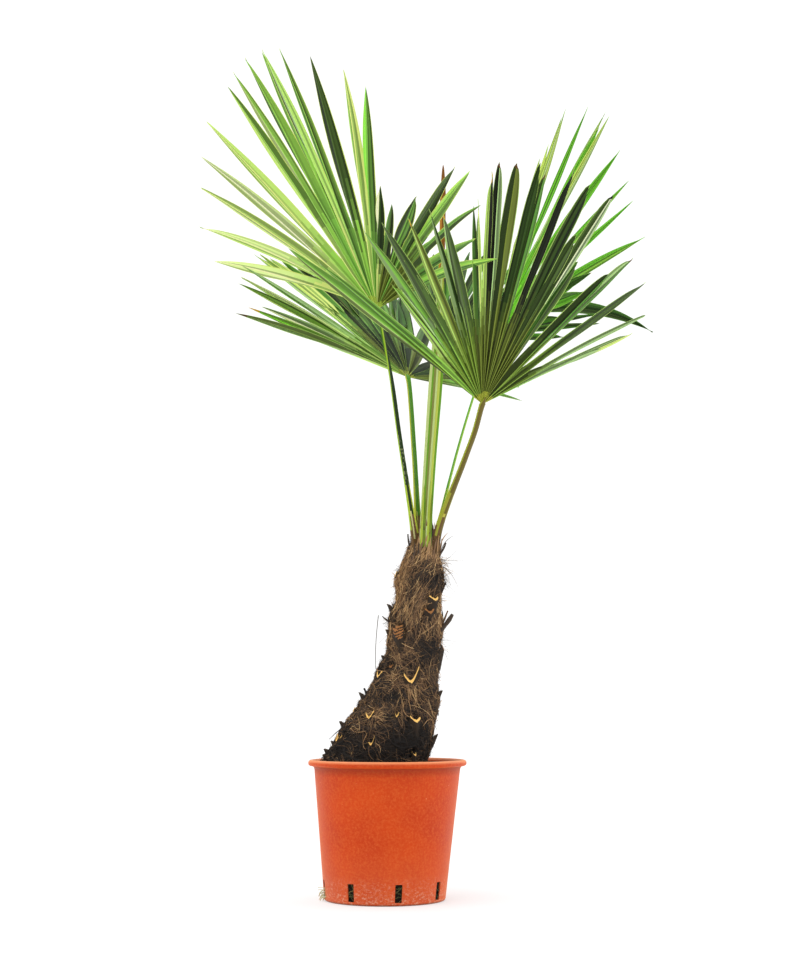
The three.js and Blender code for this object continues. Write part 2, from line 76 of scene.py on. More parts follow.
# Each frond, as the frame holds it. stalk leads from the stem to the hub. bearing, rise and roll say how
# the blade faces, cup how far its leaflets rise out of a plane, all in degrees, and droop how far they
# hang. turn and reach are the angles and lengths of its leaflets at even steps across. By leaflet, cut
# is a share of the length, aim a further turn in degrees, slim a share of the width, and sag how far
# the end falls and how many degrees further it twists. From the leaflet numbered straps on they keep
# their width to a blunt end.
#
# width is the half width of a leaflet, taper the two powers of its outline, and fold how many degrees
# its halves fold up. roll_out is how far the free leaflets twist about their ribs, in degrees at even
# steps across, wild how unevenly, and ends how oblique their ends are. half is the half width of the
# stalk near its foot and at its end, stalk_roll how far its channel is turned to the side, and flecks
# the distances along it between which it is flecked.
#
# shown is the side of the blade that faces the viewer. Colours are letters of GREENS: tones has two
# for each leaflet, one for each half; where the two differ, they paint light on one half of the fold
# and shade on the other. inner is the one that each takes towards the hub, hub and edge those round
# the hub and along the edges, the pale edge colour being a painted highlight, and tips those of dry
# tips, which start at the share dry of the length. The leaflets below calm have no very dark or pale
# strips, and those from shaded on lie in shade, so their edges have their inner colour and no painted
# highlight.
FRONDS = {
    "a": {
        "seed": 104, "count": 22,
        "stalk": [[51, -14, 641.3], [26, -26, 802], [8, -29, 928], [-15, -32, 1038]],
        "bearing": -115.5, "rise": 50, "roll": 27.4, "cup": -2, "droop": 0.13,
        "turn": [77, 48, 16, 5, -18, -34, -49, -61],
        "reach": [450, 470, 480, 535, 530, 510, 535, 440],
        "cut": {
            0: 0.99, 5: 0.99, 6: 1.01, 8: 1.02, 10: 0.99, 11: 0.98, 14: 0.63, 15: 0.6, 16: 0.74,
            17: 0.98, 18: 1.01, 19: 1.01, 20: 0.95, 21: 1.03,
        },
        "aim": {
            3: -0.7, 4: 0.9, 5: -2.2, 6: 1.3, 7: -0.6, 8: -1.9, 10: 1.1, 11: 0.6, 12: -0.6, 14: 0.6,
            16: -1.2, 17: -1.1, 18: 0.8, 19: 0.5, 20: 1.2, 21: -0.8,
        },
        "slim": {
            12: 0.9, 13: 0.85, 14: 0.8, 15: 0.7, 17: 0.75, 18: 0.8, 19: 0.5, 20: 0.7, 21: 0.8,
        },
        "shown": "under", "hub": "p", "edge": "k", "calm": 7,
        # Pale a, b and s tones are A's green lifted by painted light through the leaves; f and g paint
        # shade on its right.
        "tones": "ss bs sb sa bb bc sc ec dc ht ec gf cb id ag ef fd ff jc df ce jd",
        "inner": "bcbbcbcdcbdcbdbmmdmmmm",
        "roll_out": [-27, -34, -35, -34, -30, -24, -12, 0],
        "width": 10.8, "taper": (2.2, 0.75), "fold": 28, "wild": 5, "ends": 0.3,
        "half": (4.6, 4.4), "stalk_roll": -80, "flecks": (125, 215),
    },
    "b": {
        "seed": 50, "count": 23,
        "stalk": [[59, 8, 641.3], [51, 20, 791], [40, 40, 928]],
        "bearing": 112, "rise": 36, "roll": -14.5, "cup": 5.3, "droop": 0.06,
        "turn": [-93, -68, -40, -32, -14, 10, 42, 77],
        "reach": [360, 345, 420, 385, 400, 410, 380, 285],
        "cut": {0: 1.01, 1: 0.98, 2: 0.88, 3: 1.02, 4: 1.01, 16: 1.04, 17: 1.12, 18: 1.1},
        "aim": {
            0: 0.5, 1: -0.4, 2: 1.1, 3: 1.9, 4: -1.5, 6: 5.5, 7: 3.9, 14: 1, 15: 2, 16: 2.5,
            17: -10.5, 18: -9, 19: -1,
        },
        "slim": {
            8: 1.2, 9: 1.5, 10: 1.6, 11: 1.7, 12: 1.8, 13: 1.9, 14: 1.9, 15: 1.9, 16: 1.9, 17: 1.9,
            18: 1.5, 19: 1.2,
        },
        "shown": "upper", "hub": "q", "edge": "b", "shaded": 11,
        "tones": "hb ic ah bc ba dw hb cb ed hb de hf ed ed de dd ed de df fe ge ef dd",
        # The dark g inner tones paint the shade under frond C.
        "inner": "bcbcbcccdmmmgggmggmggmm",
        "tips": {0: "x", 1: "y"}, "dry": 0.93,
        "roll_out": [38, 38, 38, 30, 16, 4, 0, -10],
        "width": 8.2, "taper": (2.2, 0.75), "fold": 32, "wild": 12, "half": (5.4, 5.4),
    },
    "c": {
        "seed": 251, "count": 28,
        "stalk": [[94, -12, 641.3], [138, -100, 756], [154, -160, 797], [165, -198, 836]],
        "bearing": -67, "rise": 39, "roll": -7, "cup": 14, "droop": 0.066,
        "turn": [58, 43, 34, 18, 8, -6, -23, -49, -72],
        "reach": [450, 390, 405, 370, 450, 415, 415, 360, 300],
        "cut": {
            0: 1.04, 1: 0.97, 2: 0.75, 3: 0.73, 4: 1.03, 5: 1.03, 6: 0.83, 7: 0.98, 9: 0.97, 11: 0.92,
            12: 1.02, 14: 1.01, 16: 0.98, 17: 1.04, 19: 0.78, 20: 1.01, 21: 0.69, 22: 0.8, 23: 0.98,
            25: 1.04, 26: 1.02, 27: 0.85,
        },
        "aim": {
            1: 1.0, 2: -3.2, 3: -0.5, 4: 1.8, 6: 2.8, 7: 1.6, 9: 0.9, 11: 0.5, 12: 0.9, 13: 1.5,
            14: 1.8, 16: 0.7, 17: -0.6, 20: 1.6, 21: 4.6, 22: -3.0, 23: 2.3, 24: -0.9, 25: -6.0,
            26: -4.0, 27: 3.5,
        },
        "slim": {
            0: 0.9, 1: 0.85, 3: 0.95, 4: 0.7, 5: 0.8, 6: 0.7, 7: 0.75, 8: 0.6, 9: 1.1, 10: 0.6,
            11: 0.5, 12: 0.5, 13: 0.75, 15: 0.75, 16: 0.75, 17: 0.6, 20: 0.9, 24: 0.7, 25: 0.5,
            26: 0.5, 27: 0.5,
        },
        "shown": "under", "hub": "q", "edge": "b", "straps": 12,
        # The dark f, g and l tones paint the shade on C's under side.
        "tones": "bd hd bc bh hd hf bf bm hg hf eg hb bl lh fm gg fe ll fg ff fw ef fe he ff hh hb hh",
        "inner": "ncncncnnnnmmmmmmmmmmmmnnnncc",
        "tips": {7: "y", 9: "y", 12: "y", 13: "x", 14: "x", 16: "x", 20: "l", 23: "x"},
        "roll_out": [-9, -2, 2, 6, 12, 18, 24, 30, 32, 32],
        "width": 9.8, "taper": (2.4, 0.75), "fold": 33, "wild": 10, "ends": 0.9, "half": (5.8, 5.4),
    },
    "d": {
        "seed": 187, "count": 15,
        "stalk": [[93, 10, 641.3], [124, 30, 770], [158, 65, 888], [206, 120, 1035]],
        "bearing": -36.5, "rise": 45.9, "roll": -62, "cup": 1.7, "droop": 0.079,
        "turn": [-43, -36, -23, -14, 12, 31, 40],
        "reach": [355, 475, 440, 440, 380, 435, 375],
        "cut": {
            0: 1.02, 1: 0.96, 3: 1.01, 4: 1.01, 5: 0.99, 9: 1.01, 10: 0.98, 12: 0.55, 13: 0.7, 14: 0.7,
        },
        "aim": {
            0: 3.1, 1: 1.8, 3: -2.6, 4: 1.0, 5: 5.2, 6: 0.8, 8: -0.8, 9: 2.6, 10: 2.5, 11: 5.7,
            13: -2.6,
        },
        "slim": {
            0: 0.5, 1: 0.5, 2: 0.45, 3: 0.4, 4: 0.5, 5: 0.65, 6: 0.6, 7: 0.6, 8: 0.8, 9: 0.6,
            10: 0.45, 11: 0.75, 13: 0.7,
        },
        "shown": "under", "hub": "i", "edge": "j", "calm": NEVER,
        "tones": "kk kk ka ak ii ii ak ka ii ij ii ij ij ee ei", "inner": "iiiiiiiiiiiiiii",
        "tips": {6: "x", 13: "y"},
        "roll_out": [-50, -56, -58, -56, -50],
        "width": 11.0, "taper": (2.4, 0.75), "fold": 10, "wild": 5, "half": (2.9, 2.7),
    },
    "e": {
        "seed": 9, "count": 18,
        "stalk": [[77, 18, 641.3], [87, 22, 769], [97, 34, 891], [103, 82, 951], [105, 150, 1004]],
        "bearing": 70, "rise": 42, "roll": -10, "cup": 5, "droop": 0.1,
        "turn": [-32, -20, -6, 10, 25, 40, 56, 71],
        "reach": [320, 345, 370, 385, 385, 370, 350, 400],
        "cut": {9: 0.88, 10: 0.82, 11: 0.78, 12: 0.75, 13: 1.33, 14: 0.7, 15: 0.9, 16: 0.84, 17: 0.6},
        "aim": {15: -2, 16: -3, 17: -2.5}, "sag": {13: (112, -20)},
        "slim": {0: 1.7, 1: 1.7, 2: 1.6, 3: 1.5, 4: 1.3, 13: 1.35, 15: 0.6, 16: 0.6, 17: 0.7},
        "shown": "upper", "hub": "e", "edge": "d",
        "tones": "ee fe ef fe ee ef fe fe ee ef fe ef fe ef fe ef fe ef", "inner": "gggggggfffffffffff",
        "roll_out": [12, 6, -3, -14, -25, -32, -36, -36],
        "width": 9.8, "taper": (3.0, 0.75), "fold": 18, "wild": 9, "half": (3.0, 2.8),
    },
}
TURN_JITTER, REACH_JITTER = 1.1, 0.03      # in degrees, and as a share of the length

# Leaf colours as 8-bit sRGB, by letter. w is a painted highlight, g and l are painted deep shade,
# and a and s are pale greens lifted by painted light shining through the leaf.
GREENS = {
    "a": (202, 222, 148), "b": (172, 204, 102), "c": (118, 160, 62), "d": (98, 144, 54),
    "e": (68, 110, 40), "f": (60, 80, 36), "g": (38, 58, 20), "h": (130, 158, 100),
    "i": (114, 202, 48), "j": (146, 204, 72), "k": (214, 232, 110), "l": (28, 32, 22),
    "m": (88, 100, 36), "n": (96, 120, 42), "p": (150, 172, 66), "q": (140, 146, 50),
    "s": (192, 217, 130), "t": (146, 186, 88), "w": (176, 204, 146), "x": (98, 72, 36),
    "y": (216, 168, 44),
}
UPPER_GREEN = (86, 124, 48)     # what the side that faces away from the viewer leans towards
STREAKS = (0.55, 0.8, 1.0, 1.16, 1.36)     # how bright the strips of a leaflet are
STREAK_SHARES = (0.15, 0.22, 0.26, 0.22, 0.15)
DARKEST, EVEN, PALEST = 0, 2, 4


# ------------------------------------------------------------------------------------ helpers

def unit(v):
    """Directions with a length of one."""
    return v / np.maximum(np.linalg.norm(v, axis=-1, keepdims=True), 1e-12)


def smooth(x, low=0.0, high=1.0):
    """0 below low, 1 above high, and a soft step between."""
    x = np.clip((np.asarray(x, float) - low) / (high - low), 0, 1)
    return x * x * (3 - 2 * x)


def jitter(seed, index):
    """A repeatable number from -1 to 1, the same as in the frame."""
    wave = math.sin(index * 12.9898 + seed * 78.233) * 43758.5453
    return 2 * (wave - math.floor(wave)) - 1


def along(values, u):
    """Evenly spaced values with straight lines between them, at share u from 0 to 1."""
    return float(np.interp(u * (len(values) - 1), range(len(values)), values))


def lattice(cells, seed):
    """Repeatable numbers from 0 to 1 for whole-number places."""
    n = cells[..., 0] * 73856093 ^ cells[..., 1] * 19349663 ^ cells[..., 2] * 83492791 ^ seed * 2654435761
    n = (n ^ (n >> 13)) * 1274126177 & 0xFFFFFFFF
    return ((n ^ (n >> 16)) & 0xFFFF) / 65535


def noise(points, size, seed=1, octaves=3):
    """Soft noise from -1 to 1 at each point, with lumps of about the given size."""
    total, weight, swing = 0.0, 0.0, 1.0
    for octave in range(octaves):
        place = np.asarray(points, float) / size * 2 ** octave + 17.3 * octave
        cell = np.floor(place).astype(np.int64)
        f = place - cell
        f = f * f * (3 - 2 * f)
        value = 0.0
        for corner in np.ndindex(2, 2, 2):
            corner = np.array(corner)
            share = np.prod(np.where(corner, f, 1 - f), axis=-1)
            value = value + share * lattice(cell + corner, seed + octave)
        total, weight, swing = total + swing * (2 * value - 1), weight + swing, swing / 2
    return total / weight


def stacked(*values):
    """Coordinates side by side along a new last axis, each stretched to one shape."""
    return np.stack(np.broadcast_arrays(*values), -1)


def polar(radius, bearing, z):
    """Points from their distance from the Z axis, bearing in radians, and height."""
    return stacked(radius * np.cos(bearing), radius * np.sin(bearing), z)


def path_at(path, measure, at):
    """Points of a path where its measure, such as the height of each point, has the given values."""
    return stacked(*(np.interp(at, measure, path[:, k]) for k in range(3)))


def distances(path):
    """How far along a path each of its points lies."""
    return np.concatenate([[0], np.cumsum(np.linalg.norm(np.diff(path, axis=0), axis=1))])


def spline(points, steps):
    """Evenly spaced points on a centripetal Catmull-Rom curve through the given ones."""
    p = np.asarray(points, float)
    p = np.vstack([2 * p[0] - p[1], p, 2 * p[-1] - p[-2]])
    fine = []
    for i in range(1, len(p) - 2):
        a, b, c, d = p[i - 1:i + 3]
        d0, d1, d2 = (np.linalg.norm(v) ** 0.5 for v in (b - a, c - b, d - c))
        m1 = ((b - a) / d0 - (c - a) / (d0 + d1) + (c - b) / d1) * d1
        m2 = ((c - b) / d1 - (d - b) / (d1 + d2) + (d - c) / d2) * d1
        t = np.linspace(0, 1, 33)[:, None]
        fine.append((2 * t**3 - 3 * t**2 + 1) * b + (t**3 - 2 * t**2 + t) * m1
                    + (3 * t**2 - 2 * t**3) * c + (t**3 - t**2) * m2)
    fine = np.vstack(fine)
    length = distances(fine)
    return path_at(fine, length, np.linspace(0, length[-1], steps))


# ------------------------------------------------------------------------------------ meshes

def put_in_scene(name, data):
    """A new object in the scene."""
    thing = bpy.data.objects.new(name, data)
    bpy.context.scene.collection.objects.link(thing)
    return thing


class Shape:
    """Points, faces, material numbers and texture places, joined into one object."""

    def __init__(self):
        self.points, self.places, self.corners, self.sizes, self.kinds = [], [], [], [], []
        self.count = 0

    def add(self, points, faces, kinds, places=None):
        """Adds points with faces of equal size; kinds is one material number or one for each face."""
        points = np.asarray(points, float).reshape(-1, 3)
        faces = np.asarray(faces)
        if places is None:
            places = points[:, :2]
        self.points.append(points)
        self.places.append(np.asarray(places, float).reshape(-1, 2))
        self.link(faces, kinds, self.count)
        self.count += len(points)

    def link(self, faces, kinds, start):
        """Adds faces between points that are already there, counted from start."""
        self.corners.append((np.asarray(faces) + start).ravel())
        self.sizes.append(np.full(len(faces), np.shape(faces)[1]))
        self.kinds.append(np.broadcast_to(kinds, len(faces)))

    def cap(self, rows, columns, turned=False):
        """Closes both ends of the tube of so many rings that holds this shape's first points."""
        ends = np.stack([np.arange(columns)[::-1], (rows - 1) * columns + np.arange(columns)])
        self.link(ends[:, ::-1] if turned else ends, 0, 0)

    def build(self, name, materials, nodes=(), crease=35):
        """Makes the object, in place of the frame's nodes; edges sharper than crease stay sharp."""
        points = np.concatenate(self.points) * MM
        corners = np.concatenate(self.corners)
        sizes = np.concatenate(self.sizes)
        mesh = bpy.data.meshes.new(name)
        mesh.vertices.add(len(points))
        mesh.vertices.foreach_set("co", points.ravel())
        mesh.loops.add(len(corners))
        mesh.loops.foreach_set("vertex_index", corners.astype(np.int32))
        mesh.polygons.add(len(sizes))
        starts = np.concatenate([[0], np.cumsum(sizes)[:-1]])
        mesh.polygons.foreach_set("loop_start", starts.astype(np.int32))
        mesh.polygons.foreach_set("material_index", np.concatenate(self.kinds).astype(np.int32))
        for material in materials:
            mesh.materials.append(material)
        places = np.concatenate(self.places) * MM
        mesh.uv_layers.new(name="UVMap").data.foreach_set("uv", places[corners].ravel())
        mesh.update(calc_edges=True)
        mesh.validate()
        mesh.shade_smooth()
        mesh.set_sharp_from_angle(angle=math.radians(crease))
        piece = put_in_scene(name, mesh)
        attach(piece, "root")
        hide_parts(*nodes)


def grid_faces(rows, columns, closed=False):
    """The quads of a sheet of rows by columns; closed joins the last column to the first."""
    r, c = np.meshgrid(np.arange(rows - 1), np.arange(columns - (not closed)), indexing="ij")
    a, b = r * columns + c, r * columns + (c + 1) % columns
    return stacked(a, b, b + columns, a + columns).reshape(-1, 4)


def add_tubes(shape, paths, radii, sides, kinds, flat=1.0, across=None):
    """Adds a closed tube along each path. kinds has one number, or one for each path.

    across, if given, is the direction of each section's width, and flat its thickness by width.
    """
    paths = np.asarray(paths, float)
    count, steps = paths.shape[:2]
    forward = unit(np.gradient(paths, axis=1))
    if across is None:
        mean = abs(forward.mean(axis=1))
        across = np.eye(3)[mean.argmin(axis=-1)][:, None, :]
    side = unit(across - forward * (across * forward).sum(-1, keepdims=True))
    back = np.cross(forward, side)
    turn = 2 * np.pi * np.arange(sides) / sides
    radii = np.broadcast_to(radii, (count, steps))[..., None, None]
    rings = paths[:, :, None, :] + radii * (
        np.cos(turn)[:, None] * side[:, :, None, :] + flat * np.sin(turn)[:, None] * back[:, :, None, :])
    wall = grid_faces(steps, sides, closed=True)
    first = np.arange(sides)[::-1]
    last = (steps - 1) * sides + np.arange(sides)
    start = np.arange(count)[:, None, None] * steps * sides
    kinds = np.broadcast_to(kinds, count)
    pieces = np.linalg.norm(np.diff(paths, axis=1), axis=-1)
    travel = np.concatenate([np.zeros((count, 1)), pieces.cumsum(1)], 1)
    places = stacked(turn * 2, travel[:, :, None])
    base = shape.count
    shape.add(rings, (wall + start).reshape(-1, 4), np.repeat(kinds, len(wall)), places)
    shape.link((np.stack([first, last]) + start).reshape(-1, sides), np.repeat(kinds, 2), base)


# ------------------------------------------------------------------------------------ materials

def linear(colour):
    """An 8-bit sRGB colour as linear light, with alpha."""
    c = np.array(colour, float) / 255
    light = np.where(c <= 0.04045, c / 12.92, ((c + 0.055) / 1.055) ** 2.4)
    return (*light.tolist(), 1.0)


def add_node(tree, kind, inputs=(), **settings):
    """A new node in a tree; an input is a value or another node's output."""
    new = tree.nodes.new(kind)
    for key, value in settings.items():
        setattr(new, key, value)
    for key, value in dict(inputs).items():
        if isinstance(value, bpy.types.NodeSocket):
            tree.links.new(value, new.inputs[key])
        else:
            new.inputs[key].default_value = value
    return new


class Finish:
    """A Principled material with its own small node tree."""

    def __init__(self, name, colour, roughness=0.5, specular=0.5):
        self.material = bpy.data.materials.new(name)
        self.material.use_nodes = True
        self.tree = self.material.node_tree
        self.shader = self.tree.nodes["Principled BSDF"]
        self.shader.inputs["Base Color"].default_value = linear(colour)
        self.shader.inputs["Roughness"].default_value = roughness
        self.shader.inputs["Specular IOR Level"].default_value = specular
        self.material.diffuse_color = linear(colour)

    def node(self, kind, inputs=(), **settings):
        """A new node of this material."""
        return add_node(self.tree, kind, inputs, **settings)

    def texture(self, scale, detail=3.0, stretch=(1, 1, 1), place="Object", rough=0.55):
        """Noise at so many lumps for each metre, stretched along the axes."""
        where = self.node("ShaderNodeTexCoord").outputs[place]
        mapped = self.node("ShaderNodeMapping", {"Vector": where, "Scale": stretch})
        return self.node("ShaderNodeTexNoise", {
            "Vector": mapped.outputs["Vector"], "Scale": scale, "Detail": detail, "Roughness": rough,
        }).outputs["Fac"]

    def ramp(self, fac, *stops):
        """Colours by a number: each stop is a place from 0 to 1 and an sRGB colour or a grey."""
        ramp = self.node("ShaderNodeValToRGB", {"Fac": fac})
        band = ramp.color_ramp
        while len(band.elements) < len(stops):
            band.elements.new(0.5)
        for element, (place, value) in zip(band.elements, stops):
            element.position = place
            element.color = linear(value) if isinstance(value, tuple) else (value, value, value, 1)
        return ramp.outputs["Color"]

    def blend(self, fac, first, second):
        """A mix of two colours, each a value or another node's output."""
        return self.node("ShaderNodeMix", {0: fac, 6: first, 7: second}, data_type="RGBA").outputs[2]

    def product(self, first, second):
        """Two numbers multiplied."""
        return self.node("ShaderNodeMath", {0: first, 1: second}, operation="MULTIPLY").outputs["Value"]

    def height_band(self, low, high, at_low, at_high):
        """A number that goes from one value to another between two heights, in metres."""
        place = self.node("ShaderNodeTexCoord").outputs["Object"]
        height = self.node("ShaderNodeSeparateXYZ", {"Vector": place}).outputs["Z"]
        return self.node("ShaderNodeMapRange", {
            "Value": height, "From Min": low, "From Max": high, "To Min": at_low, "To Max": at_high,
        }).outputs["Result"]

    def relief(self, height, strength, distance):
        """Bump from a number, over so many metres."""
        bump = self.node("ShaderNodeBump", {"Height": height, "Strength": strength, "Distance": distance})
        self.use("Normal", bump.outputs["Normal"])

    def use(self, socket, value):
        """Leads a node's output into one of the shader's inputs."""
        self.tree.links.new(value, self.shader.inputs[socket])


def leaf_finish(name, colour, roughness=0.44):
    """Leaf skin: one plain colour, with fine veins along the leaflet in its relief and gloss."""
    finish = Finish(name, colour, roughness, specular=0.05 + 0.0007 * max(colour))
    veins = finish.texture(900, detail=2, stretch=(1, 0.02, 1), place="UV")
    finish.relief(veins, 0.3, 0.0004)
    finish.use("Roughness", finish.ramp(veins, (0.3, roughness - 0.1), (0.7, roughness + 0.14)))
    return finish.material


def blended(first, second, share):
    """An 8-bit colour between two others."""
    return tuple(round(a + (b - a) * share) for a, b in zip(first, second))


BRIGHTEST, FAR_SHARE = 246, 0.2


class Tones:
    """Leaf materials, each made when it is first asked for and shared by all fronds."""

    made = {}

    def __init__(self):
        self.used = []

    def number(self, letter, shade=EVEN, toward=None, part=0, far=False):
        """The material number for a streak of a letter's colour, so many thirds towards another.

        far is for the side of the leaf that faces away from the viewer.
        """
        mixed = f"{toward}{part}" if part else ""
        name = f"leaf_{letter}{mixed}_{shade}{'_far' if far else ''}"
        if name not in self.made:
            colour = GREENS[letter]
            if part:
                colour = blended(colour, GREENS[toward], part / 3)
            if far:
                colour = blended(colour, UPPER_GREEN, FAR_SHARE)
            streak = tuple(min(BRIGHTEST, round(c * STREAKS[shade])) for c in colour)
            self.made[name] = leaf_finish(name, streak)
        if name not in self.used:
            self.used.append(name)
        return self.used.index(name)

    def materials(self):
        return [self.made[name] for name in self.used]


# ------------------------------------------------------------------------------------ blades

HUB_START = 5.0         # radius where the leaflets start
ROWS = 28               # points along a leaflet
COLUMNS = np.array([-1, -0.9, -0.6, -0.3, -0.07, 0.07, 0.3, 0.6, 0.9, 1])
LEAF_THICKNESS, RIB_HEIGHT, BULGE = 0.55, 1.0, 0.2
HUB_FOLD, SPLIT_FOLD, TIP_FOLD = 58, 38, 42  # degrees that each half of a leaflet folds up
STRAP = (7.0, 0.55)     # taper of a leaflet that keeps its width almost to its end
NOTCH_LEAST, NOTCH_MOST = 0.2, 0.5           # how far out the blade splits, in shares of its reach
TEXTURE_LENGTH = 450    # of a leaflet's texture, whatever its own length


def blade_axes(frond):
    """Directions along the middle leaflet of a blade, to its right, and up from its upper side."""
    bearing, rise, roll = (math.radians(frond[k]) for k in ("bearing", "rise", "roll"))
    forward = np.array([math.cos(rise) * math.cos(bearing), math.cos(rise) * math.sin(bearing),
                        math.sin(rise)])
    level = unit(np.array([forward[1], -forward[0], 0.0]))
    top = np.cross(level, forward)
    right = level * math.cos(roll) + top * math.sin(roll)
    return forward, right, np.cross(right, forward)


def blade_place(frond, turn, radius, reach):
    """Points of a blade's middle surface, with the directions out, across and up from it there."""
    forward, right, normal = frond["axes"]
    cup = math.radians(frond["cup"])
    angle = np.radians(turn)[..., None]
    across = right * np.cos(angle) - forward * np.sin(angle)
    out = (forward * np.cos(angle) + right * np.sin(angle)) * math.cos(cup) + normal * math.sin(cup)
    fall = frond["droop"] * radius**2 * (1 - out[..., 2]**2) / reach
    points = np.array(frond["stalk"][-1]) + out * np.asarray(radius)[..., None]
    points[..., 2] -= fall
    return points, out, across, unit(np.cross(across, out))


def leaflet_list(frond):
    """Index, angle and length of each leaflet, in the order of growing angle."""
    fan = []
    for i in range(frond["count"]):
        u = i / (frond["count"] - 1)
        turn = along(frond["turn"], u) + TURN_JITTER * jitter(frond["seed"], i) + frond["aim"].get(i, 0)
        reach = along(frond["reach"], u) * (1 + REACH_JITTER * jitter(frond["seed"] + 50, i))
        fan.append((i, turn, reach * frond["cut"].get(i, 1)))
    return sorted(fan, key=lambda leaflet: leaflet[1])


def notch_list(frond, fan):
    """Angle, radius and reach where the blade splits, before, between and after its leaflets.

    Each split lies where two leaflets at their full width would just meet.
    """
    notches = []
    step = (fan[-1][1] - fan[0][1]) / (len(fan) - 1)
    visible = frond["width"] * math.cos(math.radians(frond["fold"])) * 1.1
    for k in range(len(fan) + 1):
        before, after = fan[max(k - 1, 0)], fan[min(k, len(fan) - 1)]
        gap = after[1] - before[1] if 0 < k < len(fan) else step
        turn = (before[1] + after[1]) / 2 + (step / 2) * ((k == len(fan)) - (k == 0))
        reach = (before[2] + after[2]) / 2
        broad = max(1, (frond["slim"].get(before[0], 1) + frond["slim"].get(after[0], 1)) / 2)
        radius = visible * broad / math.tan(math.radians(max(gap, 1.5) / 2))
        radius *= 1 + 0.18 * jitter(frond["seed"] + 90, k)
        notches.append((turn, float(np.clip(radius, NOTCH_LEAST * reach, NOTCH_MOST * reach)), reach))
    return notches


def fold_slope(frond, r, split, reach, steep):
    """How steeply a half of a leaflet folds up, as a slope, at each radius."""
    free = (r - split) / (reach - split)
    inner = HUB_FOLD + (SPLIT_FOLD - HUB_FOLD) * smooth(r / split)
    outer = SPLIT_FOLD + (frond["fold"] * steep - SPLIT_FOLD) * smooth(free, 0, 0.4)
    outer = outer + (TIP_FOLD - frond["fold"]) * smooth(free, 0.7, 1)
    return np.tan(np.radians(np.clip(np.where(r < split, inner, outer), 4, 74)))


def leaflet_edge(frond, hand, notch, leaflet, r, rib, side, lift, habit):
    """One edge of a leaflet: on the seam with its neighbour inside the notch, and free beyond it."""
    notch_turn, split, notch_reach = notch
    _, turn, reach = leaflet
    slope = fold_slope(frond, r, split, reach, habit["steep"])
    gap = math.tan(math.radians(max(abs(notch_turn - turn), 0.8)))
    seam, _, _, seam_up = blade_place(frond, np.full(ROWS, notch_turn), r, np.full(ROWS, notch_reach))
    joined = seam + seam_up * (r * gap * slope * 0.5)[:, None]
    past = np.clip((r - split) / (reach - split), 0, 1)
    power, blunt = STRAP if leaflet[0] >= frond["straps"] else frond["taper"]
    full = frond["width"] * habit["broad"] * (1 - past**power) ** blunt + 0.8 * (1 - past)
    start = split * gap
    width = start + (full - start) * smooth(past, 0, 0.12)
    width = np.where(past > 0.12, full, width)
    flat = np.cos(np.arctan(slope))
    loose = rib + side * (hand * width * np.where(past > 0, flat / flat.max() * 1.1, 1))[:, None]
    loose = loose + lift * (width * slope * 0.5)[:, None]
    return np.where((r <= split)[:, None], joined, loose)


def leaflet_habit(frond, i, rng):
    """What sets one leaflet apart from the others, by chance and by the frond's own lists."""
    habit = {
        "steep": float(np.clip(rng.normal(1, 0.3), 0.4, 1.8)),
        "broad": frond["slim"].get(i, 1) * rng.normal(1, 0.06),
    }
    even = along(frond["roll_out"], i / (frond["count"] - 1))
    habit["fall"], extra = frond["sag"].get(i, (0, 0))
    habit["twist"] = math.radians(even + rng.normal(0, frond["wild"]) + extra)
    habit["bend"] = rng.normal(0, 0.3)
    habit["sag"] = rng.normal(0, 0.004)
    habit["skew"] = rng.normal(0, frond["ends"])
    habit["phase"] = rng.uniform(0, 6)
    return habit


def add_leaflet(shape, frond, rank, fan, notches, tones):
    """One folded leaflet, joined to its neighbours inside the notches at its two sides."""
    i, turn, reach = fan[rank]
    rng = np.random.default_rng([frond["seed"], i])
    habit = leaflet_habit(frond, i, rng)
    share = 1 - (1 - np.linspace(0, 1, ROWS)) ** 1.25
    r = HUB_START + (reach - HUB_START) * share
    split = np.mean([notches[rank][1], notches[rank + 1][1]])
    free = np.clip((r - split) / (reach - split), 0, 1)
    wave = 0.3 * np.sin(free * 7 + habit["phase"]) * free * (1 - free)
    bent = turn + habit["bend"] * free**2 + wave
    rib, out, across, up = blade_place(frond, bent, r, np.full(ROWS, reach))
    rib = rib - up * (habit["sag"] * reach * free**2)[:, None]
    rib[:, 2] -= habit["fall"] * free**2
    roll = (habit["twist"] * smooth(free, 0, 0.7))[:, None]
    side, lift = across * np.cos(roll) + up * np.sin(roll), up * np.cos(roll) - across * np.sin(roll)
    oblique = out * (habit["skew"] * frond["width"] * smooth(free, 0.85, 1))[:, None]
    edges = []
    for hand, notch in ((-1, notches[rank]), (1, notches[rank + 1])):
        edge = leaflet_edge(frond, hand, notch, fan[rank], r, rib, side, lift, habit)
        edges.append(edge + hand * oblique)
    half = np.linalg.norm(edges[1] - edges[0], axis=1) / 2
    slope = fold_slope(frond, r, split, reach, habit["steep"])
    low = rib - lift * (half * slope * 0.5)[:, None]
    upper, under = leaflet_sides(edges, low, lift, half, share)
    add_leaf_sheet(shape, frond, i, upper, under, r / reach, split / reach, half, tones, rng)


def leaflet_sides(edges, low, lift, half, share):
    """Points of a leaflet's upper and under side: its halves bulge a little, and its rib stands out."""
    c = COLUMNS[None, :, None]
    ends = np.where(c < 0, edges[0][:, None], edges[1][:, None])
    middle = low[:, None] + abs(c) * (ends - low[:, None])
    middle = middle + lift[:, None] * BULGE * abs(c) * (1 - abs(c)) * half[:, None, None]
    normal = unit(np.cross(np.gradient(middle, axis=1), np.gradient(middle, axis=0)))
    rib_height = RIB_HEIGHT * (1 - 0.7 * share) * np.minimum(1, half / 4)
    ridge = np.where(abs(COLUMNS) < 0.1, 1.0, 0.0)[None, :] * rib_height[:, None]
    thick = LEAF_THICKNESS / 2 * np.minimum(1, 0.35 + half / 5)[:, None, None]
    return middle + normal * thick, middle - normal * (thick + ridge[..., None])


